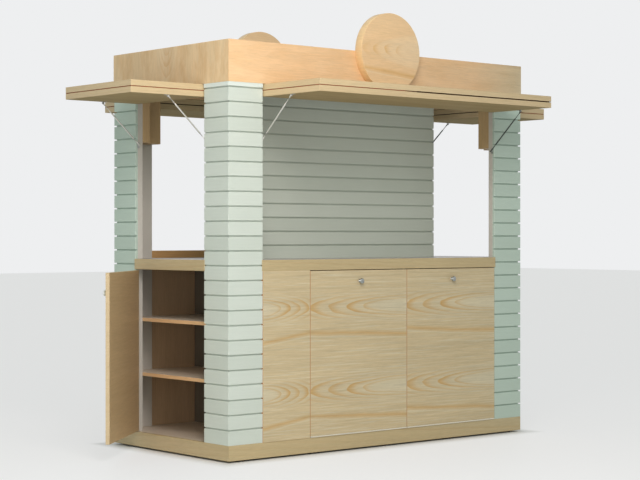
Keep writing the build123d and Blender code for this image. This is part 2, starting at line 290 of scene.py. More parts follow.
# %% [markdown]
# Three large soft lamps. The key lamp hangs high in front of the nearest corner, lights the long
# front a little more than the short side, fades towards the far ends and shades the groove under
# each board. The front fill lifts the doors, and the low fill reaches under the counter and into
# the open cabinet. Lamps with one recipe stand in a table, so their values are easy to compare.

# %% Lamps
LAMPS = {
    "key": dict(
        spot=(-2.6, -3.2, 3.6), aim=(-1.0, -0.5, 1.0), size=1.6, power=86.0, colour=(1.0, 0.955, 0.94),
    ),
    "front_fill": dict(
        spot=(-3.5, -6.0, 2.8), aim=(-0.4, -0.4, 1.2), size=3.0, power=64.0, colour=(1.0, 0.965, 0.95),
    ),
    "low_fill": dict(
        spot=(-5.2, -2.6, 0.9), aim=(-1.0, 0.1, 0.6), size=1.6, power=30.0, colour=(1.0, 1.0, 1.0),
    ),
}


def soft_lamp(name, spot, aim, size, power, colour):
    """A square area lamp in a spot, turned to shine at a point."""
    data = bpy.data.lights.new(name, "AREA")
    data.size = size
    data.energy = power
    data.color = colour
    lamp = bpy.data.objects.new(name, data)
    lamp.location = spot
    lamp.rotation_euler = (Vector(aim) - Vector(spot)).to_track_quat("-Z", "Y").to_euler()
    bpy.context.scene.collection.objects.link(lamp)


for name, settings in LAMPS.items():
    soft_lamp(name, **settings)
    print(name, settings["power"], "W")

# %% [markdown]
# Paint on the boards. It is a matte grey green, brushed on, so it has a faint streak along the
# board. No two boards take paint quite alike: the height, cut to whole courses, picks a random
# tone. The eased edges get a lighter tone, where years of wiping rub the paint thin. All posts
# but the nearest stand in cooler, dimmer light on the real kiosk, so their paint is mixed a
# little darker and greener: painted shade. The flat caps are the palest.

# %% Siding paint
BOARD_EXPOSURE = 0.08
FIRST_BOARD = 0.081
PLINTH_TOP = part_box("plinth_long_boards")[1].z
POST_FIRST_GROOVE = PLINTH_TOP + FIRST_BOARD
WALL_FIRST_GROOVE = 1.1605


def siding_paint(name, light, dark, first_groove=POST_FIRST_GROOVE):
    material, shader = new_material(name)
    vector = place(material)
    streaks = noise(material, vector, (6, 6, 160), 4.0, 0.6)
    clouds = noise(material, vector, 5.0, 2.0)
    grit = noise(material, vector, 260.0, 2.0)
    course = maths(material, "SUBTRACT", split_axes(material, vector)["Z"], first_groove)
    course = maths(material, "FLOOR", maths(material, "DIVIDE", course, BOARD_EXPOSURE))
    random_tone = add(material, "ShaderNodeTexWhiteNoise", noise_dimensions="1D")
    join(material, course, random_tone.inputs["W"])
    amount = maths(material, "MULTIPLY", random_tone.outputs["Value"], 0.3)
    for part, weight in ((streaks, 0.4), (clouds, 0.25), (grit, 0.2)):
        amount = maths(material, "ADD", amount, maths(material, "MULTIPLY", part, weight))
    colours = ramp(material, amount, (0.25, tone(*dark)), (0.85, tone(*light)))
    join(material, colours, shader.inputs["Base Color"])
    join(material, ramp(material, clouds, (0.2, 0.55), (0.8, 0.7)), shader.inputs["Roughness"])
    height = maths(material, "ADD", streaks, maths(material, "MULTIPLY", grit, 0.5))
    relief(material, shader, height, 0.3, 0.0006)
    return material


post_siding = siding_paint("post_siding", (213, 220, 210), (199, 207, 196))
wall_siding = siding_paint("wall_siding", (205, 210, 198), (190, 196, 183), WALL_FIRST_GROOVE)
rubbed_siding = siding_paint("rubbed_siding", (222, 228, 219), (210, 217, 207))
# The far posts' darker, greener paint is painted shade.
far_siding_painted_shade = siding_paint("far_siding_painted_shade", (196, 212, 199), (183, 199, 186))
far_rubbed_painted_shade = siding_paint("far_rubbed_painted_shade", (206, 221, 209), (194, 210, 198))
cap_paint = siding_paint("cap_paint", (226, 233, 226), (214, 222, 214))
print("courses on a post start at", round(POST_FIRST_GROOVE, 4))

# %% [markdown]
# Plain paint, laminate and stained timber. They have no courses and no figure, only soft clouds
# of tone, a fine roller or grain texture, and a sheen of their own. The laminate on the shelves
# and the cabinet's floor is warmer than the counter's. What lies deep in a fold is painted
# nearly black, as painted shade, and hardly shines.


# %% Plain finishes
def plain_finish(name, light, dark, rough=(0.5, 0.65), stretch=420.0, strength=0.2, gloss=0.5):
    material, shader = new_material(name)
    vector = place(material)
    clouds = noise(material, vector, 4.0, 3.0)
    fine = noise(material, vector, stretch, 2.0)
    amount = maths(material, "MULTIPLY", clouds, 0.6)
    amount = maths(material, "ADD", amount, maths(material, "MULTIPLY", fine, 0.4))
    colours = ramp(material, amount, (0.32, tone(*dark)), (0.68, tone(*light)))
    join(material, colours, shader.inputs["Base Color"])
    sheen = ramp(material, clouds, (0.3, rough[0]), (0.7, rough[1]))
    join(material, sheen, shader.inputs["Roughness"])
    relief(material, shader, fine, strength, 0.0003)
    shader.inputs["Specular IOR Level"].default_value = gloss
    return material


LAMINATE = dict(rough=(0.3, 0.42), stretch=700.0, strength=0.1)
post_paint = plain_finish("post_paint", (206, 202, 194), (192, 188, 179))
leg_paint = plain_finish("leg_paint", (206, 200, 190), (190, 184, 174))
pale_laminate = plain_finish("pale_laminate", (196, 192, 190), (182, 178, 177), **LAMINATE)
shelf_laminate = plain_finish("shelf_laminate", (226, 210, 190), (212, 196, 177), **LAMINATE)
dark_timber = plain_finish(
    "dark_timber", (66, 54, 44), (46, 38, 32), rough=(0.6, 0.8), stretch=(20, 300, 300), strength=0.4,
)
# Painted shade for what lies deep in a fold.
painted_fold_shade = plain_finish("painted_fold_shade", (36, 23, 15), (28, 17, 11), rough=(0.8, 0.9), gloss=0.1)
print("finishes", post_paint.name, pale_laminate.name, dark_timber.name)

# %% [markdown]
# Veneer. A flat cut leaf of wood shows the growth rings as arches: the knife runs nearly along
# the trunk, and the trunk tapers. The same happens here in numbers. A ring is a distance from
# the pith, the pith lies deeper at one end of the leaf than at the other, and the rings that
# come out on the face are arches down the middle and streaks beside them. An image of wood
# would be quicker, but it repeats and blurs, while numbers stay sharp at any distance.
# One table holds what a leaf can have, so each wood further down names only what is special.

# %% What a leaf of veneer can have
PLAIN_VENEER = dict(
    grain="X",  # the axis along the grain
    across=None,  # the axis across the face, if it isn't the usual one
    origin=(0.0, 0.0),  # where the leaf starts along the grain, and height zero across it
    flip=1.0,  # -1 turns the leaf end for end
    depth=0.10,  # how deep the pith lies at the start
    taper=0.125,  # how much it rises a metre
    wide=0.0165,  # from ring to ring in the arches
    narrow=0.0075,  # from ring to ring beside them
    clear=0.047,  # the radius of the plain wood round the pith
    squeeze=1.0,  # more than 1 makes the arches slimmer
    fade=None,  # (near, far, low): beside the arches the rings pale to the share low
    strength=0.6,  # how dark the rings are
    outer=0.4,  # the share of it that is left beside the arches
    even=0.3,  # 1 makes every ring as dark as the next
    sway=0.03,  # how far the grain wanders
    streaks=(),  # the heights of single dark streaks
    lean=0.0,  # how much they fall a metre
    flecks=0.0,  # how strong the pale flecks along the grain are
    mottle=0.0,  # how strong the soft clouds are
    # the tail is painted shade: a darker, greyer cast towards one end
    tail=None,  # (start, stop, cast): a cast that grows between two places along X
    turn=0.0,  # the angle that the piece stands at
    rough=(0.36, 0.5),  # from its smoothest to its dullest spots
    gloss=0.5,  # how much it reflects
)
FINE_SWAY = 0.006
PALE_CAST = (1.08, 1.2, 1.42)
PALE_BELOW_STREAK = 0.02
print("a leaf has", len(PLAIN_VENEER), "settings")


# %% Growth rings
def wave_counts(leaf, along, across):
    """Waves a metre along X, Y and Z, for noise that is drawn out along the grain."""
    return tuple(along if axis == leaf.grain else across for axis in "XYZ")


def with_noise(material, vector, value, stretch, detail, amount):
    """A value that wanders up and down by up to half of an amount."""
    wave = maths(material, "SUBTRACT", noise(material, vector, stretch, detail), 0.5)
    return maths(material, "ADD", value, maths(material, "MULTIPLY", wave, amount))


def pith_distances(material, leaf, side, deep, hearts):
    """The distance to the nearest pith, and the part of it that lies across the face."""
    radius, nearest = None, None
    for heart in hearts:
        away = maths(material, "SUBTRACT", side, heart)
        away = maths(material, "MULTIPLY", away, leaf.squeeze)
        squares = [maths(material, "POWER", part, 2.0) for part in (away, deep)]
        one = maths(material, "SQRT", maths(material, "ADD", *squares))
        gap = maths(material, "ABSOLUTE", away)
        radius = one if radius is None else maths(material, "MINIMUM", radius, one)
        nearest = gap if nearest is None else maths(material, "MINIMUM", nearest, gap)
    return radius, nearest


def ring_lines(material, leaf, vector, radius, nearest):
    """How dark the rings are at a spot, from 0 to 1. Each ring has a weight of its own."""
    inner = maths(material, "DIVIDE", maths(material, "MINIMUM", radius, leaf.depth), leaf.wide)
    past = maths(material, "MAXIMUM", maths(material, "SUBTRACT", radius, leaf.depth), 0.0)
    phase = maths(material, "ADD", inner, maths(material, "DIVIDE", past, leaf.narrow))
    phase = with_noise(material, vector, phase, wave_counts(leaf, 5, 26), 2.0, 0.5)
    random_ring = add(material, "ShaderNodeTexWhiteNoise", noise_dimensions="1D")
    join(material, maths(material, "FLOOR", phase), random_ring.inputs["W"])
    line = ramp(
        material, maths(material, "FRACT", phase),
        (0.0, 0.0), (0.45, 0.12), (0.8, 0.8), (0.93, 1.0), (1.0, 0.0),
    )
    random_value = random_ring.outputs["Value"]
    weight = maths(material, "MULTIPLY_ADD", random_value, 1.0 - leaf.even, leaf.even)
    reach = ramp(
        material, radius, (leaf.clear * 0.85, 0.0), (leaf.clear * 1.15, 1.0), (leaf.depth, 1.0),
        (leaf.depth + 0.03, leaf.outer),
    )
    rings = maths(material, "MULTIPLY", maths(material, "MULTIPLY", line, weight), reach)
    if leaf.fade:
        near, far, low = leaf.fade
        fading = ramp(material, nearest, (near, 1.0), (far, low))
        rings = maths(material, "MULTIPLY", rings, fading)
    return rings


print("rings", PLAIN_VENEER["wide"], "and", PLAIN_VENEER["narrow"], "apart")

# %% [markdown]
# Over the rings come the smaller things that the eye takes for wood: pale flecks, single dark
# streaks with a pale line below, broad bands, clouds, and last the fibres and the fine pores.


# %% Streaks, flecks and pores
def darkened(material, colour, amount, *stops):
    """A colour times a grey that follows an amount."""
    return mixed(material, 1.0, colour, ramp(material, amount, *stops), "MULTIPLY")


def with_streak(material, colour, level, height, ring, pale):
    """A dark streak at a height, with a fine pale line below it."""
    off = maths(material, "ABSOLUTE", maths(material, "SUBTRACT", level, height))
    dark = ramp(material, off, (0.0, 0.62), (0.006, 0.35), (0.02, 0.0))
    colour = mixed(material, dark, colour, ring)
    pale_height = height - PALE_BELOW_STREAK
    below = maths(material, "ABSOLUTE", maths(material, "SUBTRACT", level, pale_height))
    return mixed(material, ramp(material, below, (0.0, 0.5), (0.005, 0.0)), colour, pale)


def with_flecks(material, leaf, vector, colour, pale):
    """Pale flecks along the grain, and dull ones between them."""
    fleck = noise(material, vector, wave_counts(leaf, 3.5, 150), 4.0, 0.65)
    colour = mixed(material, ramp(material, fleck, (0.5, 0.0), (0.66, leaf.flecks)), colour, pale)
    dull = noise(material, vector, wave_counts(leaf, 3, 120), 3.0, 0.6)
    return darkened(material, colour, dull, (0.3, 0.88), (0.55, 1.0))


def with_painted_shade_tail(material, leaf, colour, x_socket):
    """Painted shade: a darker cast that grows from one place along the kiosk to another."""
    start, stop, cast = leaf.tail
    run = maths(material, "MULTIPLY_ADD", x_socket, 1 / (stop - start), start / (start - stop))
    tinted = mixed(material, 1.0, colour, cast, "MULTIPLY")
    return mixed(material, ramp(material, run, (0.0, 0.0), (1.0, 1.0)), colour, tinted)


# %% Veneer
def veneer(name, light, ring, hearts, **changes):
    """Wood with its grain along one axis and an arch line at each height in hearts."""
    leaf = SimpleNamespace(**{**PLAIN_VENEER, **changes})
    material, shader = new_material(name)
    vector = place(material, leaf.turn)
    axes = split_axes(material, vector)
    along = maths(material, "SUBTRACT", axes[leaf.grain], leaf.origin[0])
    along = maths(material, "MULTIPLY", along, leaf.flip)
    across = leaf.across or ("X" if leaf.grain == "Z" else "Z")
    side = maths(material, "SUBTRACT", axes[across], leaf.origin[1])
    side = with_noise(material, vector, side, wave_counts(leaf, 1.6, 7), 3.0, leaf.sway)
    side = with_noise(material, vector, side, wave_counts(leaf, 9, 40), 2.0, FINE_SWAY)
    deep = maths(material, "SUBTRACT", leaf.depth, maths(material, "MULTIPLY", along, leaf.taper))
    radius, nearest = pith_distances(material, leaf, side, deep, hearts)
    rings = ring_lines(material, leaf, vector, radius, nearest)

    pale = tuple(min(1.0, value * factor) for value, factor in zip(light, PALE_CAST))
    inside = ramp(
        material, radius, (leaf.clear * 0.5, 0.75), (leaf.clear * 1.2, 0.35), (leaf.depth, 0.25),
        (leaf.depth + 0.02, 0.0),
    )
    colour = mixed(material, inside, light, pale)
    if leaf.flecks:
        colour = with_flecks(material, leaf, vector, colour, pale)
    colour = mixed(material, maths(material, "MULTIPLY", rings, leaf.strength), colour, ring)
    level = maths(material, "MULTIPLY_ADD", along, leaf.lean, side)
    for height in leaf.streaks:
        colour = with_streak(material, colour, level, height, ring, pale)
    bands = noise(material, vector, wave_counts(leaf, 0.9, 18), 3.0, 0.5)
    colour = darkened(material, colour, bands, (0.35, 0.93), (0.65, 1.0))
    if leaf.mottle:
        patches = noise(material, vector, wave_counts(leaf, 5, 12), 4.0, 0.65)
        clouds = ramp(material, patches, (0.42, 0.0), (0.68, leaf.mottle))
        colour = mixed(material, clouds, colour, ring)
    if leaf.tail:
        colour = with_painted_shade_tail(material, leaf, colour, axes["X"])
    fibres = noise(material, vector, wave_counts(leaf, 11, 190), 3.0, 0.62)
    pores = noise(material, vector, wave_counts(leaf, 26, 520), 2.0, 0.6)
    colour = darkened(material, colour, fibres, (0.3, 0.88), (0.7, 1.0))
    colour = darkened(material, colour, pores, (0.25, 0.9), (0.5, 1.0))
    join(material, colour, shader.inputs["Base Color"])
    sheen = ramp(material, bands, (0.3, leaf.rough[1]), (0.7, leaf.rough[0]))
    join(material, sheen, shader.inputs["Roughness"])
    relief(material, shader, maths(material, "ADD", fibres, pores), 0.22, 0.0003)
    shader.inputs["Specular IOR Level"].default_value = leaf.gloss
    return material


# %% [markdown]
# The doors. Two rows of arches and two dark streaks run across each panel at the same heights,
# because the leaves were cut one after the other from the same log. The narrow panel is the
# same leaf turned end for end, with shorter arches and a steeper streak.

# %% Door veneers
PANEL_TONES = (tone(213, 192, 152), tone(204, 157, 82))
DOOR_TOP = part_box("drop_door_left")[1].z
HEARTS, STREAKS = (-0.203, -0.669), (-0.338, -0.804)
LEAF_SHIFT = 0.02
FIGURE = dict(
    streaks=STREAKS, strength=0.9, even=0.7, flecks=0.7, lean=0.05, squeeze=1.12,
    fade=(0.03, 0.085, 0.16), sway=0.022, narrow=0.015, outer=0.2,
)
door_veneers = {
    side: veneer(
        "door_veneer_" + side, *PANEL_TONES, HEARTS,
        origin=(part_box("drop_door_" + side)[0].x - LEAF_SHIFT, DOOR_TOP), **FIGURE,
    )
    for side in ("left", "right")
}
PANEL_FIGURE = {**FIGURE, "lean": 0.15, "taper": 0.25, "flip": -1.0}
panel_veneer = veneer(
    "panel_veneer", *PANEL_TONES, HEARTS,
    origin=(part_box("fixed_panel_front")[1].x, DOOR_TOP), **PANEL_FIGURE,
)
print("door veneers", sorted(door_veneers))

# %% [markdown]
# The header and its discs are cut from a warmer, livelier leaf with a soft cloudy figure. On the
# header's ends the grain stands upright. Its long boards are painted darker and greyer towards
# the right end: painted shade, where the light falls off.

# %% Header and disc veneers
# The tail paints shade on the right end of the header.
header_veneer = veneer(
    "header_veneer", tone(252, 210, 162), tone(234, 184, 124), (2.15,), depth=0.16, taper=0.03,
    wide=0.03, narrow=0.02, clear=0.01, strength=0.28, outer=0.7, sway=0.12, mottle=0.3,
    tail=(0.72, 1.10, (0.76, 0.87, 0.94)),
)
header_end_veneer = veneer(
    "header_end_veneer", tone(238, 207, 162), tone(214, 164, 100), (0.02,), grain="Z", across="Y",
    origin=(2.10, 0.0), depth=0.12, taper=0.2, wide=0.012, narrow=0.03, clear=0.09,
    fade=(0.02, 0.08, 0.3), strength=0.6, outer=0.5, sway=0.05, mottle=0.5,
)
disc_veneer = veneer(
    "disc_veneer", tone(250, 212, 164), tone(230, 178, 98), (2.28,), origin=(-0.055, 0.0),
    depth=0.12, taper=0.14, wide=0.0122, narrow=0.0115, clear=0.108, fade=(0.012, 0.042, 0.1),
    strength=0.75, outer=0.3, sway=0.02, even=0.8, streaks=(2.158,), lean=0.09, mottle=0.1,
)
disc_rim = veneer(
    "disc_rim", tone(255, 218, 164), tone(252, 202, 144), (1.0,), grain="Y", depth=0.3,
    taper=0.02, strength=0.3,
)
print("header and discs", header_veneer.name, disc_veneer.name)

# %% [markdown]
# The narrow boards, bands and edges are plain, straight grained maple. One recipe with the pith
# far away gives nearly straight lines, and each piece names its tones and the direction that it
# runs in. Lippings between the doors are redder and hatches more olive. The strips in the folds
# are brown as painted shade.

# %% Straight grained woods
STRAIGHT = dict(
    hearts=(1.3, 0.2), depth=0.3, taper=0.03, wide=0.016, narrow=0.014, strength=0.35, outer=0.7,
)
TRIM = ((200, 179, 136), (182, 141, 82))
EDGE = ((218, 193, 151), (198, 162, 108))
INSIDE = ((208, 176, 132), (186, 148, 104))
DULL = dict(rough=(0.7, 0.85), gloss=0.15)


def straight_wood(name, light, ring, grain="X", **changes):
    return veneer(name, tone(*light), tone(*ring), grain=grain, **STRAIGHT, **changes)


trim_maple = straight_wood("trim_maple", *TRIM)
trim_maple_across = straight_wood("trim_maple_across", *TRIM, grain="Y")
trim_maple_upright = straight_wood("trim_maple_upright", *TRIM, grain="Z")
edge_maple = straight_wood("edge_maple", *EDGE)
edge_maple_across = straight_wood("edge_maple_across", *EDGE, grain="Y")
seam_edge = straight_wood("seam_edge", (206, 158, 114), (184, 134, 90), grain="Z")
inside_veneer = straight_wood("inside_veneer", *INSIDE)
panel_inside = straight_wood("panel_inside", (208, 175, 138), (186, 149, 109), grain="Z")
shelf_edge = straight_wood("shelf_edge", (240, 196, 146), (218, 168, 114), grain="Y")
block_wood = straight_wood("block_wood", (198, 166, 121), (168, 132, 86), grain="Z")
brown_board = straight_wood("brown_board", (142, 106, 73), (112, 80, 52), grain="Z")
partition_wood = straight_wood("partition_wood", (121, 112, 98), (100, 91, 78), grain="Z")
ledge_wood = straight_wood("ledge_wood", (204, 158, 104), (176, 130, 80))
olive_board = straight_wood("olive_board", (180, 157, 114), (160, 136, 94), **DULL)
# The brown of the fold strips is painted shade.
fold_shade_board = straight_wood("fold_shade_board", (160, 94, 60), (130, 70, 42), **DULL)
print("trim", trim_maple.name, "edges", edge_maple.name)

# %% [markdown]
# Metals. The butt hinges and fittings are bare steel with a fine grain, and handling dulls them
# in patches. The knobs of the front and back doors are polished. A pale coat covers the long
# hinges and the near stays, so these are set as only partly metal. The side door's knob is a
# paler, less metallic copy of the knobs: painted light, where the low light from the left falls
# on it. The stays at the right end are a dark copy of the stays: painted shade, as they stand
# out of the light.


# %% Metals
def metal(name, light, dark, rough, metallic=1.0):
    material, shader = new_material(name)
    vector = place(material)
    fine = noise(material, vector, 900.0, 2.0)
    handling = noise(material, vector, 60.0, 3.0)
    colours = ramp(material, fine, (0.3, tone(*dark)), (0.7, tone(*light)))
    join(material, colours, shader.inputs["Base Color"])
    sheen = ramp(material, handling, (0.35, rough), (0.65, rough + 0.12))
    join(material, sheen, shader.inputs["Roughness"])
    shader.inputs["Metallic"].default_value = metallic
    relief(material, shader, fine, 0.08, 0.0002)
    return material


steel = metal("steel", (196, 197, 196), (176, 177, 176), 0.3)
knob_metal = metal("knob_metal", (168, 171, 168), (150, 153, 150), 0.2)
# The side knob's paler, less metallic copy is painted light.
side_knob_painted_light = metal("side_knob_painted_light", (246, 246, 238), (234, 234, 226), 0.25, 0.25)
hinge_metal = metal("hinge_metal", (232, 226, 210), (214, 208, 190), 0.45, 0.4)
stay_metal = metal("stay_metal", (226, 223, 216), (210, 207, 200), 0.3, 0.75)
# The dark copy for the stays at the right end: painted shade.
stay_painted_shade = metal("stay_painted_shade", (84, 90, 84), (66, 72, 66), 0.35, 0.6)
print("metals", steel.name, stay_metal.name)

# %% [markdown]
# From here on every solid gets its look. A real board never has a razor edge, so most solids
# are copied, welded and given a hair of rounding along their edges, which then catch the light.
# The rounding can take a material of its own, such as paint that is rubbed thin.

# %% Rounded copies of the solids
BODY_OF = {
    node: body for body, nodes in frame["record"]["behaviour"]["bodies"].items() for node in nodes
}
THIN_EASE, PANEL_EASE, BOARD_EASE, TRIM_EASE, TIMBER_EASE = 0.0008, 0.001, 0.0012, 0.0015, 0.002
MERGE_WITHIN, FLAT_WITHIN = 0.00002, 0.02
SHARP = 0.6  # the least angle, in radians, at which an edge is rounded
FACING, EASED_FACING = 0.7, 0.3  # how far a face looks along an axis, 1 being straight along it


def welded(node):
    """A solid's mesh with its doubles merged and its flat faces joined up."""
    bm = bmesh.new()
    bm.from_mesh(frame["nodes"][node].data)
    bmesh.ops.remove_doubles(bm, verts=bm.verts, dist=MERGE_WITHIN)
    bmesh.ops.dissolve_limit(bm, angle_limit=FLAT_WITHIN, verts=bm.verts, edges=bm.edges)
    return bm


def ease_edges(bm, width, edge_index=None):
    """Rounds every edge where two faces meet at more than a slight angle."""
    edges = [e for e in bm.edges if len(e.link_faces) == 2 and e.calc_face_angle() > SHARP]
    result = bmesh.ops.bevel(
        bm, geom=edges, offset=width, segments=2, profile=0.5, affect="EDGES", material=-1,
        clamp_overlap=True,
    )
    if edge_index is not None:
        for face in result["faces"]:
            face.material_index = edge_index


def dress(piece, nodes=(), body=None):
    """The piece stands for these solids, if any, and moves with their body."""
    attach(piece, body or BODY_OF[nodes[0]])
    if nodes:
        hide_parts(*nodes)
    return piece


def eased_board(
    node, name, materials, width=BOARD_EASE, choose=None, edge_index=None, shape=None, side_index=None,
):
    """A rounded copy of a solid, with a rule that picks each face's material.

    The rounding can have a material of its own, and so can all that looks to the left or right.
    """
    bm = welded(node)
    if shape:
        shape(bm)
    if choose:
        for face in bm.faces:
            face.material_index = choose(face.normal, face.calc_center_median())
    ease_edges(bm, width, edge_index)
    if side_index is not None:
        for face in bm.faces:
            if abs(face.normal.x) > EASED_FACING:
                face.material_index = side_index
    return dress(object_from(bm, name, *materials), [node])


def ends_differ(normal, centre):
    """0 on faces that look along Y or Z, and 1 on faces that look along X."""
    return 1 if abs(normal.x) > FACING else 0


print("solids", len(frame["nodes"]))

# %% [markdown]
# Plinth, header and counter. The plinth and header boards are mitred at the corners, and their
# eased edges leave a fine line down each mitre. Faces that look to the left and right get a
# finish whose grain is turned, as it would be on boards that are cut and joined.

# %% Plinth, header and counter
TRIM_SET = (trim_maple, trim_maple_across, trim_maple)
HEADER_SET = (header_veneer, header_end_veneer)
made = [
    eased_board("plinth_long_boards", "plinth_long", TRIM_SET, TRIM_EASE, ends_differ, 2),
    eased_board("plinth_end_boards", "plinth_ends", (trim_maple_across,), TRIM_EASE),
    eased_board("header_long_boards", "header_long", HEADER_SET, TRIM_EASE, ends_differ),
    eased_board("header_end_boards", "header_ends", (header_end_veneer,), TRIM_EASE),
    eased_board("counter_board", "counter_top", (pale_laminate,)),
    eased_board("counter_bands", "counter_edging", TRIM_SET, TRIM_EASE, ends_differ, 2),
    eased_board("counter_back_ledge", "counter_ledge", (ledge_wood, edge_maple), TIMBER_EASE, None, 1),
]
print([piece.name for piece in made])

# %% [markdown]
# Doors and fixed panels. Outside they wear the figured veneer, inside a plain tan one, and a
# solid lipping runs round the edges. At the front the lipping stands two millimetres past the
# solid's sides, so the joints are as fine as a joiner makes them. It could be a frame of strips,
# but moving the panel's own sides outwards gives the same shape with fewer faces. The upright
# lippings are redder, and draw the thin line that shows at each joint.

# %% Door and panel boards
LIPPING = 0.002
DOOR_EASE = 0.0014
SIDE_WITHIN = 1e-4
OUTER, INNER, NARROW, SECOND_LEAF, SEAM_SIDE = range(5)


def lipped(left, right, top):
    """A shaping step that moves a panel's left, right and top sides outwards."""
    def shape(bm):
        low = min(v.co.x for v in bm.verts)
        high = max(v.co.x for v in bm.verts)
        highest = max(v.co.z for v in bm.verts)
        for vert in bm.verts:
            if vert.co.x < low + SIDE_WITHIN:
                vert.co.x -= left
            elif vert.co.x > high - SIDE_WITHIN:
                vert.co.x += right
            if vert.co.z > highest - SIDE_WITHIN:
                vert.co.z += top
    return shape


def front_or_back(outward):
    """A rule for a panel whose outer face looks to the front, -1, or to the back, 1."""
    def rule(normal, centre):
        if abs(normal.y) < FACING:
            return NARROW
        return OUTER if normal.y * outward > 0 else INNER
    return rule


for side in ("left", "right"):
    figured = door_veneers[side]
    eased_board(
        "drop_door_" + side, "flap_door_" + side,
        (figured, inside_veneer, edge_maple, figured, seam_edge), DOOR_EASE, front_or_back(-1),
        NARROW, lipped(LIPPING, LIPPING, LIPPING), SEAM_SIDE,
    )
PANEL_SET = (panel_veneer, panel_inside, edge_maple, panel_veneer, seam_edge)
eased_board(
    "fixed_panel_front", "front_panel", PANEL_SET, PANEL_EASE, front_or_back(-1), NARROW,
    lipped(0.0, LIPPING, 0.0), SEAM_SIDE,
)
eased_board(
    "fixed_panel_back", "back_panel", PANEL_SET, PANEL_EASE, front_or_back(1), NARROW, None,
    SEAM_SIDE,
)
print("panels", len(PANEL_SET), "finishes each")

# %% Back doors
BACK_DOOR_JOINT = 0.17


def back_door_rule(normal, centre):
    """Of the back pair, the door nearer to the right end has a leaf of its own."""
    if normal.y > FACING and centre.x > BACK_DOOR_JOINT:
        return SECOND_LEAF
    return front_or_back(1)(normal, centre)


back_pair = eased_board(
    "back_doors", "back_door_pair",
    (door_veneers["left"], panel_inside, edge_maple, door_veneers["right"], seam_edge),
    PANEL_EASE, back_door_rule, NARROW, None, SEAM_SIDE,
)
print("back doors", len(back_pair.data.polygons))

# %% [markdown]
# The side door stands open, so its grain is turned by the same angle, or it would run across
# the board at a slant. The panel at the right end has the same figure, unturned.

# %% Side door and end panel
DOOR_TURN = math.radians(48.0)
END_LEAF_START = -0.332
END_FIGURE = dict(grain="Y", origin=(END_LEAF_START, DOOR_TOP), **FIGURE)
side_veneer = veneer("side_veneer", *PANEL_TONES, HEARTS, turn=DOOR_TURN, **END_FIGURE)
side_inside = straight_wood("side_inside", *INSIDE, grain="Y", turn=DOOR_TURN)
end_veneer = veneer("end_veneer", *PANEL_TONES, HEARTS, **END_FIGURE)
door_faces_in = Vector((math.cos(DOOR_TURN), -math.sin(DOOR_TURN), 0))


def side_door_rule(normal, centre):
    facing = normal.dot(door_faces_in)
    return OUTER if facing < -FACING else INNER if facing > FACING else NARROW


def end_panel_rule(normal, centre):
    return OUTER if normal.x > FACING else INNER if normal.x < -FACING else NARROW


SIDE_SET = (side_veneer, side_inside, edge_maple)
END_SET = (end_veneer, panel_inside, edge_maple_across)
eased_board("side_door", "end_cabinet_door", SIDE_SET, PANEL_EASE, side_door_rule, NARROW)
eased_board("end_panel_right", "right_end_panel", END_SET, PANEL_EASE, end_panel_rule, NARROW)
print("side door turned", round(math.degrees(DOOR_TURN)), "degrees")

# %% [markdown]
# Inside the cabinet. The shelves are laminated board with a strip of orange maple on the edge
# that shows in the doorway. The upright boards are brown, and the floor has the laminate of the
# shelves. Each is a rounded copy, with a rule where one edge differs.


# %% Shelves, partitions and floor
def left_edge(normal, centre):
    return 1 if normal.x < -FACING else 0


def front_edge(normal, centre):
    return 1 if normal.y < -FACING else 0


PARTITION_SET = (partition_wood, trim_maple_upright)
DIVIDER_SET = (brown_board, trim_maple_upright)
POSTS = ("front_left", "front_right", "back_left", "back_right")
eased_board("cabinet_shelves", "shelf_boards", (shelf_laminate, shelf_edge), THIN_EASE, left_edge)
eased_board("cabinet_partition", "partition_board", PARTITION_SET, THIN_EASE, front_edge)
eased_board("cabinet_middle_divider", "divider_board", DIVIDER_SET, THIN_EASE, front_edge)
eased_board("base_floor", "cabinet_floor", (shelf_laminate,), THIN_EASE)
eased_board("base_bearers", "cross_bearers", (dark_timber,), TIMBER_EASE)
eased_board("post_head_blocks", "head_blocks", (block_wood,), TIMBER_EASE)
eased_board("ceiling_board", "header_ceiling", (pale_laminate,), THIN_EASE)
eased_board("roof_board", "header_roof", (pale_laminate,), THIN_EASE)
for end in POSTS:
    eased_board("post_" + end, "post_core_" + end, (leg_paint,), TRIM_EASE)
wall_core = eased_board("centre_wall", "wall_core", (post_paint,), TRIM_EASE)
print("inside boards and cores", wall_core.name)

# %% [markdown]
# The siding. Flat painted boards lie one above the other with a square groove between them,
# eleven millimetres deep. Round a post the boards of two faces meet in a mitre, so a whole
# course is made as one L: the L is drawn flat, pulled up by the height of a board and eased.
# A backing L, set back by the depth of the groove, closes the post behind the grooves.

# %% Outlines, levels and backings
GROOVE_HEIGHT = 0.008
GROOVE_DEPTH = 0.011
COURSE_EASE = 0.0014


def prism(bm, outline, z_low, z_high):
    """A flat outline pulled up between two heights."""
    bottom = bm.faces.new([bm.verts.new((x, y, z_low)) for x, y in outline])
    raised = bmesh.ops.extrude_face_region(bm, geom=[bottom])["geom"]
    top = [v for v in raised if isinstance(v, bmesh.types.BMVert)]
    bmesh.ops.translate(bm, verts=top, vec=(0, 0, z_high - z_low))


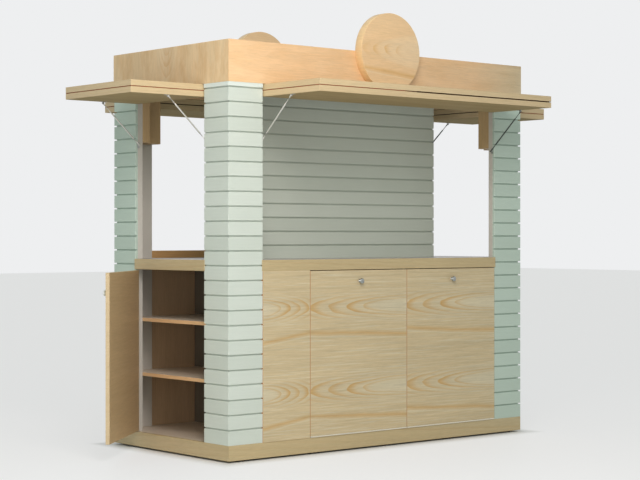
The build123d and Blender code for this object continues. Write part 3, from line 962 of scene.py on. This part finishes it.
def corner_outline(node, thickness, inset=0.0):
    """The six points of a corner L, its two outer faces moved in by the inset."""
    lo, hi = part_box(node)
    sx = -1 if lo.x + hi.x < 0 else 1
    sy = -1 if lo.y + hi.y < 0 else 1
    corner = Vector((lo.x if sx < 0 else hi.x, lo.y if sy < 0 else hi.y))
    far = Vector((hi.x if sx < 0 else lo.x, hi.y if sy < 0 else lo.y))
    outer = corner - Vector((sx, sy)) * inset
    inner = corner - Vector((sx, sy)) * thickness
    return [
        (outer.x, outer.y), (far.x, outer.y), (far.x, inner.y), (inner.x, inner.y),
        (inner.x, far.y), (outer.x, far.y),
    ]


def board_levels(first_groove, low, high):
    """The lower and upper levels of the boards between two heights."""
    levels = []
    bottom, middle = low, first_groove
    while middle - GROOVE_HEIGHT / 2 < high:
        levels.append((bottom, middle - GROOVE_HEIGHT / 2))
        bottom = middle + GROOVE_HEIGHT / 2
        middle += BOARD_EXPOSURE
    if bottom < high:
        levels.append((bottom, high))
    return levels


def with_backing(bm, backing):
    """Adds the faces of a second, unrounded bmesh to the first."""
    bmesh.ops.recalc_face_normals(backing, faces=backing.faces)
    spare = bpy.data.meshes.new("backing")
    backing.to_mesh(spare)
    backing.free()
    bm.from_mesh(spare)
    bpy.data.meshes.remove(spare)


print("grooves", GROOVE_HEIGHT, "high and", GROOVE_DEPTH, "deep")

# %% Courses round a post
SIDING_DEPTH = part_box("post_front_left")[0].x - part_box("cladding_front_left")[0].x
for end in POSTS:
    node = "cladding_" + end
    lo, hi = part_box(node)
    bm, backing = bmesh.new(), bmesh.new()
    for z_low, z_high in board_levels(POST_FIRST_GROOVE, lo.z, hi.z):
        prism(bm, corner_outline(node, GROOVE_DEPTH), z_low, z_high)
    bmesh.ops.recalc_face_normals(bm, faces=bm.faces)
    ease_edges(bm, COURSE_EASE, 1)
    prism(backing, corner_outline(node, SIDING_DEPTH, GROOVE_DEPTH), lo.z, hi.z)
    with_backing(bm, backing)
    # The far posts take the darker, greener paint: painted shade.
    paints = (post_siding, rubbed_siding) if end == "front_left" else (far_siding_painted_shade, far_rubbed_painted_shade)
    piece = dress(object_from(bm, "siding_" + end, *paints), [node])
    print(piece.name, len(piece.data.polygons))

# %% [markdown]
# Each post ends in a flat cap that stands a little proud of the boards. It is the same L once
# more, drawn three millimetres larger. Below it a neck, set back as far as the grooves, draws
# one last shadow line under the cap.

# %% Caps on the posts
CAP_OVERHANG, CAP_THICKNESS, CAP_NECK = 0.003, 0.050, 0.005
lo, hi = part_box("post_caps")
bm, necks = bmesh.new(), bmesh.new()
for end in POSTS:
    clad = "cladding_" + end
    prism(bm, corner_outline(clad, CAP_THICKNESS, -CAP_OVERHANG), lo.z + CAP_NECK, hi.z)
    prism(necks, corner_outline(clad, CAP_THICKNESS, GROOVE_DEPTH), lo.z, lo.z + CAP_NECK)
bmesh.ops.recalc_face_normals(bm, faces=bm.faces)
ease_edges(bm, COURSE_EASE, 1)
with_backing(bm, necks)
caps = dress(object_from(bm, "post_cap_boards", cap_paint, rubbed_siding), ["post_caps"])
print(caps.name, len(caps.data.polygons))

# %% [markdown]
# The centre wall wears the same boards on both faces. They are straight, so each is a plain
# rectangle pulled up, and they start at a level of their own above the counter.

# %% Courses on the centre wall
lo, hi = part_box("cladding_centre_wall")
core_lo, core_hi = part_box("centre_wall")
bm, backing = bmesh.new(), bmesh.new()
for face_y, core_y, inward in ((lo.y, core_lo.y, 1), (hi.y, core_hi.y, -1)):
    groove_y = face_y + inward * GROOVE_DEPTH
    board = [(lo.x, face_y), (hi.x, face_y), (hi.x, groove_y), (lo.x, groove_y)]
    for z_low, z_high in board_levels(WALL_FIRST_GROOVE, lo.z, hi.z):
        prism(bm, board, z_low, z_high)
    sheet = [(lo.x, groove_y), (hi.x, groove_y), (hi.x, core_y), (lo.x, core_y)]
    prism(backing, sheet, lo.z, hi.z)
bmesh.ops.recalc_face_normals(bm, faces=bm.faces)
ease_edges(bm, COURSE_EASE)
with_backing(bm, backing)
wall_boards = dress(object_from(bm, "siding_wall", wall_siding), ["cladding_centre_wall"])
print(wall_boards.name, len(wall_boards.data.polygons))

# %% [markdown]
# The hatches. Each is two leaves folded on each other: pale maple edges round an olive tan
# board. From below the faces show, from the side the two edges with the dark fold between them.
# The faces that fold together are painted nearly black: painted shade. Along the right part of
# the front hatch the fold gapes darkest, so there the rounded edges of the leaves take the same
# painted shade. A cut across the leaves gives that stretch its own faces.

# %% Hatch leaves
FLAP_LOW, FLAP_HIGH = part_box("flap_front")[0].z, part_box("flap_front")[1].z
LEAF_THICKNESS, FOLD_GAP, LEAF_EASE, FOLD_SHADE_FROM = 0.032, 0.004, 0.0015, -0.20
WELL_INSIDE, PLATE_EASE, CUT_WITHIN = 0.01, 0.0004, 0.000001
HATCHES = ("front", "back", "left", "right")
FOLD_FACE = 3


def leaf_rule(normal, centre):
    """Faces that fold together, which take the painted shade, other faces, and edges by the way that
    they look.
    """
    if abs(normal.z) > FACING:
        return FOLD_FACE if FLAP_LOW + WELL_INSIDE < centre.z < FLAP_HIGH - WELL_INSIDE else 0
    return 1 if abs(normal.x) > FACING else 2


def cut_across(bm):
    """A shaping step that divides the leaves' faces where the painted shade of the fold begins."""
    everything = bm.verts[:] + bm.edges[:] + bm.faces[:]
    bmesh.ops.bisect_plane(
        bm, geom=everything, dist=CUT_WITHIN, plane_co=(FOLD_SHADE_FROM, 0, 0), plane_no=(1, 0, 0),
    )


def paint_fold_shade(hatch):
    """Painted shade on the rounded edges in the fold, past the cut."""
    for face in hatch.data.polygons:
        height = face.center.z - FLAP_LOW
        in_fold = LEAF_THICKNESS - LEAF_EASE < height < LEAF_THICKNESS + FOLD_GAP + LEAF_EASE
        if in_fold and face.center.x > FOLD_SHADE_FROM:
            face.material_index = FOLD_FACE


LEAF_SET = (olive_board, edge_maple_across, edge_maple, painted_fold_shade)
for side in HATCHES:
    step = cut_across if side == "front" else None
    hatch = eased_board("flap_" + side, "hatch_" + side, LEAF_SET, LEAF_EASE, leaf_rule, None, step)
    if side == "front":
        paint_fold_shade(hatch)
    print(hatch.name, len(hatch.data.polygons))
# The hatch hinge plates take the same painted shade.
eased_board("flap_hinge_plates", "hatch_hinge_plates", (painted_fold_shade,), PLATE_EASE)

# %% [markdown]
# A thin brown strip shows in each fold, just behind the edges of the leaves: painted shade, the
# brown that the leaves' edges take in the shadow of the fold. It is an outline round three edges
# of the hatch, pulled up to the height of the gap. Along the front hatch it falls back from the
# edge a third of the way along, and the rest of that fold is a dark gap.

# %% Strips in the folds
STRIP_BACK, STRIP_WIDTH, STRIP_PLAY = 0.0012, 0.003, 0.0001
STRIP_TURN, STRIP_DROP = (-0.30, -0.14), 0.014
FOLD_LOW = FLAP_LOW + LEAF_THICKNESS


def strip_outline(low, high, root, edge, turns):
    """Out from the root, along the edge and back, then the same way home, further in."""
    last = turns[-1][1] if turns else 0.0
    outline = []
    for depth, order in ((STRIP_BACK, 1), (STRIP_BACK + STRIP_WIDTH, -1)):
        run = [(low + depth, root), (low + depth, edge - depth)]
        run += [(spot, edge - depth - fall) for spot, fall in turns]
        run += [(high - depth, edge - depth - last), (high - depth, root)]
        outline += run[::order]
    return outline


strips = bmesh.new()
for side in HATCHES:
    lo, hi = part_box("flap_" + side)
    sign = 1 if side in ("back", "right") else -1
    run_axis, out_axis = (1, 0) if side in ("left", "right") else (0, 1)
    edge, root = (hi[out_axis], lo[out_axis]) if sign > 0 else (-lo[out_axis], -hi[out_axis])
    turns = [(STRIP_TURN[0], 0.0), (STRIP_TURN[1], STRIP_DROP)] if side == "front" else []
    points = strip_outline(lo[run_axis], hi[run_axis], root, edge, turns)
    outline = [(sign * out, spot) if out_axis == 0 else (spot, sign * out) for spot, out in points]
    prism(strips, outline, FOLD_LOW + STRIP_PLAY, FOLD_LOW + FOLD_GAP - STRIP_PLAY)
bmesh.ops.recalc_face_normals(strips, faces=strips.faces)
fold_shade_strips = object_from(strips, "fold_shade_strips", fold_shade_board)
dress(fold_shade_strips, body="kiosk")
print("strips", len(fold_shade_strips.data.polygons), "fold from", round(FOLD_LOW, 4))

# %% [markdown]
# Sign discs. A circle is closed, pulled out to the disc's thickness and eased at both rims. A
# ready made cylinder would do as well, but pulling out an outline is how the boards are made
# too. The rim is bent from a lighter strip than the face.

# %% Sign discs
DISC_SIDES = 128


def sign_disc(node, name):
    lo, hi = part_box(node)
    bm = bmesh.new()
    bmesh.ops.create_circle(bm, cap_ends=True, radius=(hi.z - lo.z) / 2, segments=DISC_SIDES)
    raised = bmesh.ops.extrude_face_region(bm, geom=bm.faces[:])["geom"]
    top = [v for v in raised if isinstance(v, bmesh.types.BMVert)]
    bmesh.ops.translate(bm, verts=top, vec=(0, 0, hi.y - lo.y))
    bmesh.ops.translate(bm, verts=bm.verts, vec=(0, 0, (lo.y - hi.y) / 2))
    upright = Matrix.Rotation(math.pi / 2, 3, "X")
    bmesh.ops.rotate(bm, verts=bm.verts, cent=(0, 0, 0), matrix=upright)
    bmesh.ops.translate(bm, verts=bm.verts, vec=(lo + hi) / 2)
    bmesh.ops.recalc_face_normals(bm, faces=bm.faces)
    for face in bm.faces:
        face.material_index = 0 if abs(face.normal.y) > FACING else 1
        face.smooth = face.material_index == 1
    ease_edges(bm, TRIM_EASE, 1)
    return dress(object_from(bm, name, disc_veneer, disc_rim), [node])


for side in ("front", "back"):
    disc = sign_disc("sign_disc_" + side, "sign_" + side)
    print(disc.name, len(disc.data.polygons))

# %% [markdown]
# Knobs. A knob is turned on a lathe, so it is made like one: half of its outline is drawn and
# spun once round its axis. The outline has a foot plate, a slim neck that swells into the head,
# and a softly domed front.

# %% Turning on a lathe
KNOB_OUTLINE = (
    (0.0, 0.0), (0.0095, 0.0), (0.0098, 0.0012), (0.0085, 0.0022), (0.0062, 0.0032),
    (0.0058, 0.0075), (0.0070, 0.0108), (0.0105, 0.0128), (0.0140, 0.0140), (0.0156, 0.0162),
    (0.0160, 0.0190), (0.0152, 0.0220), (0.0125, 0.0244), (0.0070, 0.0257), (0.0, 0.0260),
)
KNOB_SIDES, STAY_SIDES, STUD_SIDES, SCREW_SIDES = 40, 24, 20, 16
LATHE_MERGE = 0.00001


def turned(bm, outline, base, direction, steps=KNOB_SIDES):
    """Spins an outline of (radius, height) points round its axis and puts it on a base point."""
    lathe = bmesh.new()
    verts = [lathe.verts.new((radius, 0, height)) for radius, height in outline]
    edges = [lathe.edges.new(pair) for pair in zip(verts, verts[1:])]
    bmesh.ops.spin(
        lathe, geom=verts + edges, cent=(0, 0, 0), axis=(0, 0, 1), dvec=(0, 0, 0),
        angle=2 * math.pi, steps=steps, use_merge=True,
    )
    bmesh.ops.remove_doubles(lathe, verts=lathe.verts, dist=LATHE_MERGE)
    facing = Vector(direction).to_track_quat("Z", "Y").to_matrix()
    bmesh.ops.rotate(lathe, verts=lathe.verts, cent=(0, 0, 0), matrix=facing)
    bmesh.ops.translate(lathe, verts=lathe.verts, vec=base)
    with_backing(bm, lathe)


def smooth_object(bm, name, *materials):
    """Shades every face softly and returns the object."""
    for face in bm.faces:
        face.smooth = True
    return object_from(bm, name, *materials)


print("knob", KNOB_OUTLINE[-1][1], "deep")


# %% Knobs
def foot_of(points, direction):
    """The middle of the face that a knob stands on, from the corners of its solid."""
    lowest = min(point.dot(direction) for point in points)
    foot = [point for point in points if point.dot(direction) < lowest + SIDE_WITHIN]
    low = Vector(min(point[axis] for point in foot) for axis in range(3))
    high = Vector(max(point[axis] for point in foot) for axis in range(3))
    return (low + high) / 2


def corners_of(node):
    return [vert.co.copy() for vert in frame["nodes"][node].data.vertices]


def knob_piece(node, name, material, groups, direction):
    """One piece with a knob on the foot of each group of corners."""
    bm = bmesh.new()
    for points in groups:
        turned(bm, KNOB_OUTLINE, foot_of(points, direction), direction)
    return dress(smooth_object(bm, name, material), [node])


FRONT, BACK = Vector((0, -1, 0)), Vector((0, 1, 0))
for side in ("left", "right"):
    node = "drop_door_knob_" + side
    knob_piece(node, "knob_" + side, knob_metal, [corners_of(node)], FRONT)
points = corners_of("back_door_knobs")
middle_x = sum(point.x for point in points) / len(points)
pair = ([p for p in points if p.x < middle_x], [p for p in points if p.x >= middle_x])
knob_piece("back_door_knobs", "back_knobs", knob_metal, pair, BACK)
# The side knob takes the paler copy: painted light.
side_knob = knob_piece(
    "side_door_knob", "side_knob", side_knob_painted_light, [corners_of("side_door_knob")], -door_faces_in,
)
print("knob faces", len(side_knob.data.polygons))

# %% [markdown]
# Gas stays. A stay holds a hatch up: a thin rod runs out of a coated tube, with a slim neck at
# the other end, and each end has a ball socket that sits on a stud. The tube is turned like the
# knobs, along the line between its two studs, and the studs stand on small plates that are
# screwed to the post's end and under the leaf.

# %% Stay sizes
clad_lo, clad_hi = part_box("cladding_front_left")
FACE_X, FACE_Y, OPEN_X, OPEN_Y = -clad_lo.x, -clad_lo.y, -clad_hi.x, -clad_hi.y
HEADER_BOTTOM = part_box("header_long_boards")[0].z
STAY_OFF, FOOT_INSET, FOOT_DROP, HEAD_REACH, HEAD_DROP = 0.011, 0.020, 0.306, 0.228, 0.008
ROD, TUBE, ROD_LENGTH, NECK_LENGTH = 0.002, 0.004, 0.052, 0.060
foot_run = Vector((0, FOOT_INSET, HEADER_BOTTOM - FOOT_DROP))
head_run = Vector((0, -HEAD_REACH, FLAP_LOW - HEAD_DROP))
STAY_LENGTH = (head_run - foot_run).length
TUBE_END = STAY_LENGTH - NECK_LENGTH
SOCKET = (
    (0.0, -0.0052), (0.0030, -0.0046), (0.0045, -0.0028), (0.0050, 0.0), (0.0045, 0.0030),
    (0.0034, 0.0052), (0.0034, 0.0150), (0.0030, 0.0160), (ROD, 0.0162),
)
far_socket = tuple((radius, STAY_LENGTH - height) for radius, height in reversed(SOCKET))
STAY_OUTLINE = SOCKET + (
    (ROD, ROD_LENGTH), (0.0030, ROD_LENGTH), (0.0033, ROD_LENGTH + 0.0022),
    (TUBE, ROD_LENGTH + 0.0040), (TUBE, TUBE_END - 0.0045), (0.0034, TUBE_END - 0.0015),
    (ROD, TUBE_END),
) + far_socket
print("stay length", round(STAY_LENGTH, 4))

# %% Outlines of the studs and screws
STUD_OUTLINE = (
    (0.0, 0.0), (0.0042, 0.0), (0.0042, 0.0035), (0.0022, 0.0045), (0.0022, STAY_OFF),
    (0.0, STAY_OFF),
)
LUG_STUD_OUTLINE = (
    (0.0, -0.0085), (0.0022, -0.0085), (0.0022, 0.0015), (0.0034, 0.0018), (0.0030, 0.0034),
    (0.0, 0.0038),
)
SCREW_OUTLINE = (
    (0.0, 0.0003), (0.0009, 0.0003), (0.0011, 0.0011), (0.0022, 0.0011), (0.0029, 0.0007),
    (0.0031, 0.0), (0.0, -0.001),
)
print("stud", STAY_OFF, "long")


# %% Plates and screws
def rounded_plate(bm, centre, size):
    """A thin plate with rounded corners, its sides along the axes."""
    plate = bmesh.new()
    bmesh.ops.create_cube(plate, size=1.0)
    bmesh.ops.scale(plate, vec=size, verts=plate.verts)
    bmesh.ops.translate(plate, vec=centre, verts=plate.verts)
    thin = min(range(3), key=lambda axis: size[axis])
    edges = [
        e for e in plate.edges
        if abs((e.verts[0].co - e.verts[1].co)[thin]) > size[thin] * 0.5
    ]
    bmesh.ops.bevel(
        plate, geom=edges, offset=PLATE_CORNER, segments=4, profile=0.5, affect="EDGES",
        material=-1, clamp_overlap=True,
    )
    with_backing(bm, plate)


def screw(bm, spot, direction):
    outline = [(radius * SCREW_SIZE, height * SCREW_SIZE) for radius, height in SCREW_OUTLINE]
    turned(bm, outline, spot, direction, SCREW_SIDES)


def long_side(point, sx, sy):
    """A spot at a front or back opening, from its (across, inward, up) numbers."""
    across, inward, up = point
    return Vector((sx * (OPEN_X - across), sy * (FACE_Y - inward), up))


def short_side(point, sx, sy):
    """The same at a left or right opening."""
    across, inward, up = point
    return Vector((sx * (FACE_X - inward), sy * (OPEN_Y - across), up))


def thin_along(away, thin, wide, high):
    """A size that is thin along the way that a plate looks."""
    across_x = abs(away.x) > 0.5
    return Vector((thin, wide, high) if across_x else (wide, thin, high))


PLATE, PLATE_WIDTH, PLATE_LENGTH, PLATE_CORNER = 0.002, 0.014, 0.034, 0.004
FLANGE_WIDTH, SCREW_SIZE, SCREW_SPACING = 0.016, 0.8, 0.012
LUG_OFF, LUG_OVERLAP, FLANGE_OFF, FLANGE_SCREW = 0.0045, 0.005, 0.008, 0.011
print("plates", PLATE_LENGTH, "by", PLATE_WIDTH)


# %% [markdown]
# Each opening has a stay at either end, so eight are made in one loop: two openings' ways of
# counting, times the four corners. Those at the right end take the dark copy, painted shade.

# %% Gas stays
def post_fitting(bm, spot, away):
    """The plate, stud and two screws on the end of a post."""
    turned(bm, STUD_OUTLINE, spot, away, STUD_SIDES)
    rounded_plate(bm, spot + away * PLATE / 2, thin_along(away, PLATE, PLATE_WIDTH, PLATE_LENGTH))
    for drop in (-SCREW_SPACING, SCREW_SPACING):
        screw(bm, spot + away * PLATE + Vector((0, 0, drop)), away)


def leaf_fitting(bm, head, away, along):
    """The lug, stud, flange and two screws under a leaf."""
    lug = head + away * LUG_OFF
    lug_height = HEAD_DROP + LUG_OVERLAP
    lug_spot = Vector((lug.x, lug.y, FLAP_LOW - lug_height / 2))
    rounded_plate(bm, lug_spot, thin_along(away, PLATE, PLATE_WIDTH, lug_height))
    turned(bm, LUG_STUD_OUTLINE, lug, away, STUD_SIDES)
    flange = lug + away * FLANGE_OFF
    flange_spot = Vector((flange.x, flange.y, FLAP_LOW - PLATE / 2))
    rounded_plate(bm, flange_spot, thin_along(away, FLANGE_WIDTH, PLATE_LENGTH, PLATE))
    for step in (-1, 1):
        screw(bm, flange_spot + along * step - Vector((0, 0, PLATE / 2)), (0, 0, -1))


tubes, fittings = bmesh.new(), bmesh.new()
for to_world in (long_side, short_side):
    for sx, sy in ((-1, -1), (-1, 1), (1, -1), (1, 1)):
        foot = to_world((STAY_OFF, foot_run.y, foot_run.z), sx, sy)
        head = to_world((STAY_OFF, head_run.y, head_run.z), sx, sy)
        before = len(tubes.faces)
        turned(tubes, STAY_OUTLINE, foot, head - foot, STAY_SIDES)
        tubes.faces.ensure_lookup_table()
        for face in tubes.faces[before:]:
            # The stays at the right end take the painted shade.
            face.material_index = 1 if sx > 0 else 0
        wall_spot = to_world((0.0, foot_run.y, foot_run.z), sx, sy)
        away = (foot - wall_spot).normalized()
        post_fitting(fittings, wall_spot, away)
        along = to_world((STAY_OFF, head_run.y - FLANGE_SCREW, head_run.z), sx, sy) - head
        leaf_fitting(fittings, head, away, along)
stays = dress(smooth_object(tubes, "stay_tubes", stay_metal, stay_painted_shade), ["flap_stays"])
stay_fittings = dress(object_from(fittings, "stay_fittings", steel), body="kiosk")
print("stays", len(stays.data.polygons), "fittings", len(stay_fittings.data.polygons))

# %% [markdown]
# Long hinges under the drop doors. A long hinge is two leaves whose edges are rolled into
# knuckles on one pin, taking turns. The fixed leaf lies on the plinth, the other under the door,
# and a fine knuckle every twenty millimetres shows along the front. The solids have only a few
# long knuckles, so the fine ones are turned here, one short tube each.

# %% Long hinges
KNUCKLE, KNUCKLE_COUNT, KNUCKLE_SIDES, KNUCKLE_PLAY, KNUCKLE_EASE = 0.004, 36, 16, 0.0004, 0.0004
PIN_Y, PIN_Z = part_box("fixed_panel_front")[0].y, PLINTH_TOP + KNUCKLE
LEAF_THICK, LEAF_START, LEAF_END = 0.0015, 0.0043, 0.0193


def knuckle_tube(bm, start, stop):
    """A short tube with eased ends along the pin."""
    half = (stop - start) / 2
    outline = (
        (0.0, -half), (KNUCKLE - KNUCKLE_EASE, -half), (KNUCKLE, KNUCKLE_EASE - half),
        (KNUCKLE, half - KNUCKLE_EASE), (KNUCKLE - KNUCKLE_EASE, half), (0.0, half),
    )
    turned(bm, outline, ((start + stop) / 2, PIN_Y, PIN_Z), (1, 0, 0), KNUCKLE_SIDES)


def plate_between(bm, low, high):
    corner_a, corner_b = Vector(low), Vector(high)
    verts = bmesh.ops.create_cube(bm, size=1.0)["verts"]
    bmesh.ops.scale(bm, vec=corner_b - corner_a, verts=verts)
    bmesh.ops.translate(bm, vec=(corner_a + corner_b) / 2, verts=verts)


def hinge_leaf(bm, x_low, x_high, z_low, first):
    """A leaf, and every second knuckle with the web that joins it to the leaf."""
    z_high = z_low + LEAF_THICK
    plate_between(bm, (x_low, PIN_Y + LEAF_START, z_low), (x_high, PIN_Y + LEAF_END, z_high))
    pitch = (x_high - x_low) / KNUCKLE_COUNT
    for index in range(first, KNUCKLE_COUNT, 2):
        start = x_low + index * pitch + KNUCKLE_PLAY / 2
        stop = start + pitch - KNUCKLE_PLAY
        knuckle_tube(bm, start, stop)
        plate_between(bm, (start, PIN_Y, z_low), (stop, PIN_Y + LEAF_START, z_high))


fixed_leaves = bmesh.new()
for side in ("left", "right"):
    node = "drop_door_hinge_" + side
    lo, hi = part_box(node)
    moving_leaf = bmesh.new()
    hinge_leaf(fixed_leaves, lo.x, hi.x, PIN_Z - KNUCKLE, 0)
    hinge_leaf(moving_leaf, lo.x, hi.x, PIN_Z + KNUCKLE - LEAF_THICK, 1)
    dress(smooth_object(moving_leaf, "long_hinge_" + side, hinge_metal), [node])
fixed_hinge = smooth_object(fixed_leaves, "long_hinges_fixed", hinge_metal)
dress(fixed_hinge, ["drop_door_fixed_hinges"])
print("knuckles a door", KNUCKLE_COUNT, "faces", len(fixed_hinge.data.polygons))

# %% [markdown]
# Butt hinges of the side door. The solids already have the leaves, knuckles and pins, so they
# stay and take the steel. A rounded pin head closes each hinge, above and below.

# %% Butt hinges
for node in ("side_door_hinges", "side_door_fixed_hinges"):
    solid = frame["nodes"][node]
    if not solid.material_slots:
        solid.data.materials.append(steel)
    for slot in solid.material_slots:
        slot.material = steel
joints = frame["record"]["behaviour"]["joints"]
hinge_spot = Vector(next(joint["pos_m"] for joint in joints if joint["name"] == "side_door_hinge"))
lo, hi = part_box("side_door_fixed_hinges")
BUTT_HEIGHT, HEAD_SUNK = 0.090, 0.0005
butt_levels = (lo.z + BUTT_HEIGHT / 2, (lo.z + hi.z) / 2, hi.z - BUTT_HEIGHT / 2)
PIN_HEAD = (
    (0.0, 0.0), (0.0052, 0.0), (0.0052, 0.0008), (0.0040, 0.0022), (0.0018, 0.0030), (0.0, 0.0032),
)
pin_heads = bmesh.new()
for level in butt_levels:
    for up in (1, -1):
        height = level + up * (BUTT_HEIGHT / 2 - HEAD_SUNK)
        turned(pin_heads, PIN_HEAD, (hinge_spot.x, hinge_spot.y, height), (0, 0, up), STUD_SIDES)
dress(smooth_object(pin_heads, "butt_hinge_pin_heads", steel), body="kiosk")
print("hinge levels", [round(level, 3) for level in butt_levels])

# %% [markdown]
# Three countersunk screws hold each leaf, nearly flush. Those in the post's leaf stay with the
# kiosk. Those in the door's leaf are placed as the door stands, turned about the pin, and move
# with it.

# %% Screws in the butt hinges
SCREW_OUT, LEAF_FACE, SCREW_STEP = 0.0147, 0.001, 0.030
FLUSH_SCREW = (
    (0.0, 0.0001), (0.0012, 0.0001), (0.0014, 0.0004), (0.0030, 0.0004), (0.0034, 0.0),
    (0.0, -0.0004),
)
opened = Matrix.Rotation(-DOOR_TURN, 3, "Z")
for name, body, side, turn in (
    ("butt_screws_post", "kiosk", 1, Matrix.Identity(3)),
    ("butt_screws_door", "side_door", -1, opened),
):
    screws = bmesh.new()
    for level in butt_levels:
        for step in (-SCREW_STEP, 0.0, SCREW_STEP):
            spot = turn @ Vector((SCREW_OUT, side * LEAF_FACE, 0))
            spot += Vector((hinge_spot.x, hinge_spot.y, level + step))
            turned(screws, FLUSH_SCREW, spot, turn @ Vector((0, -side, 0)), STUD_SIDES)
    made_screws = dress(smooth_object(screws, name, steel), body=body)
    print(name, len(made_screws.data.polygons))
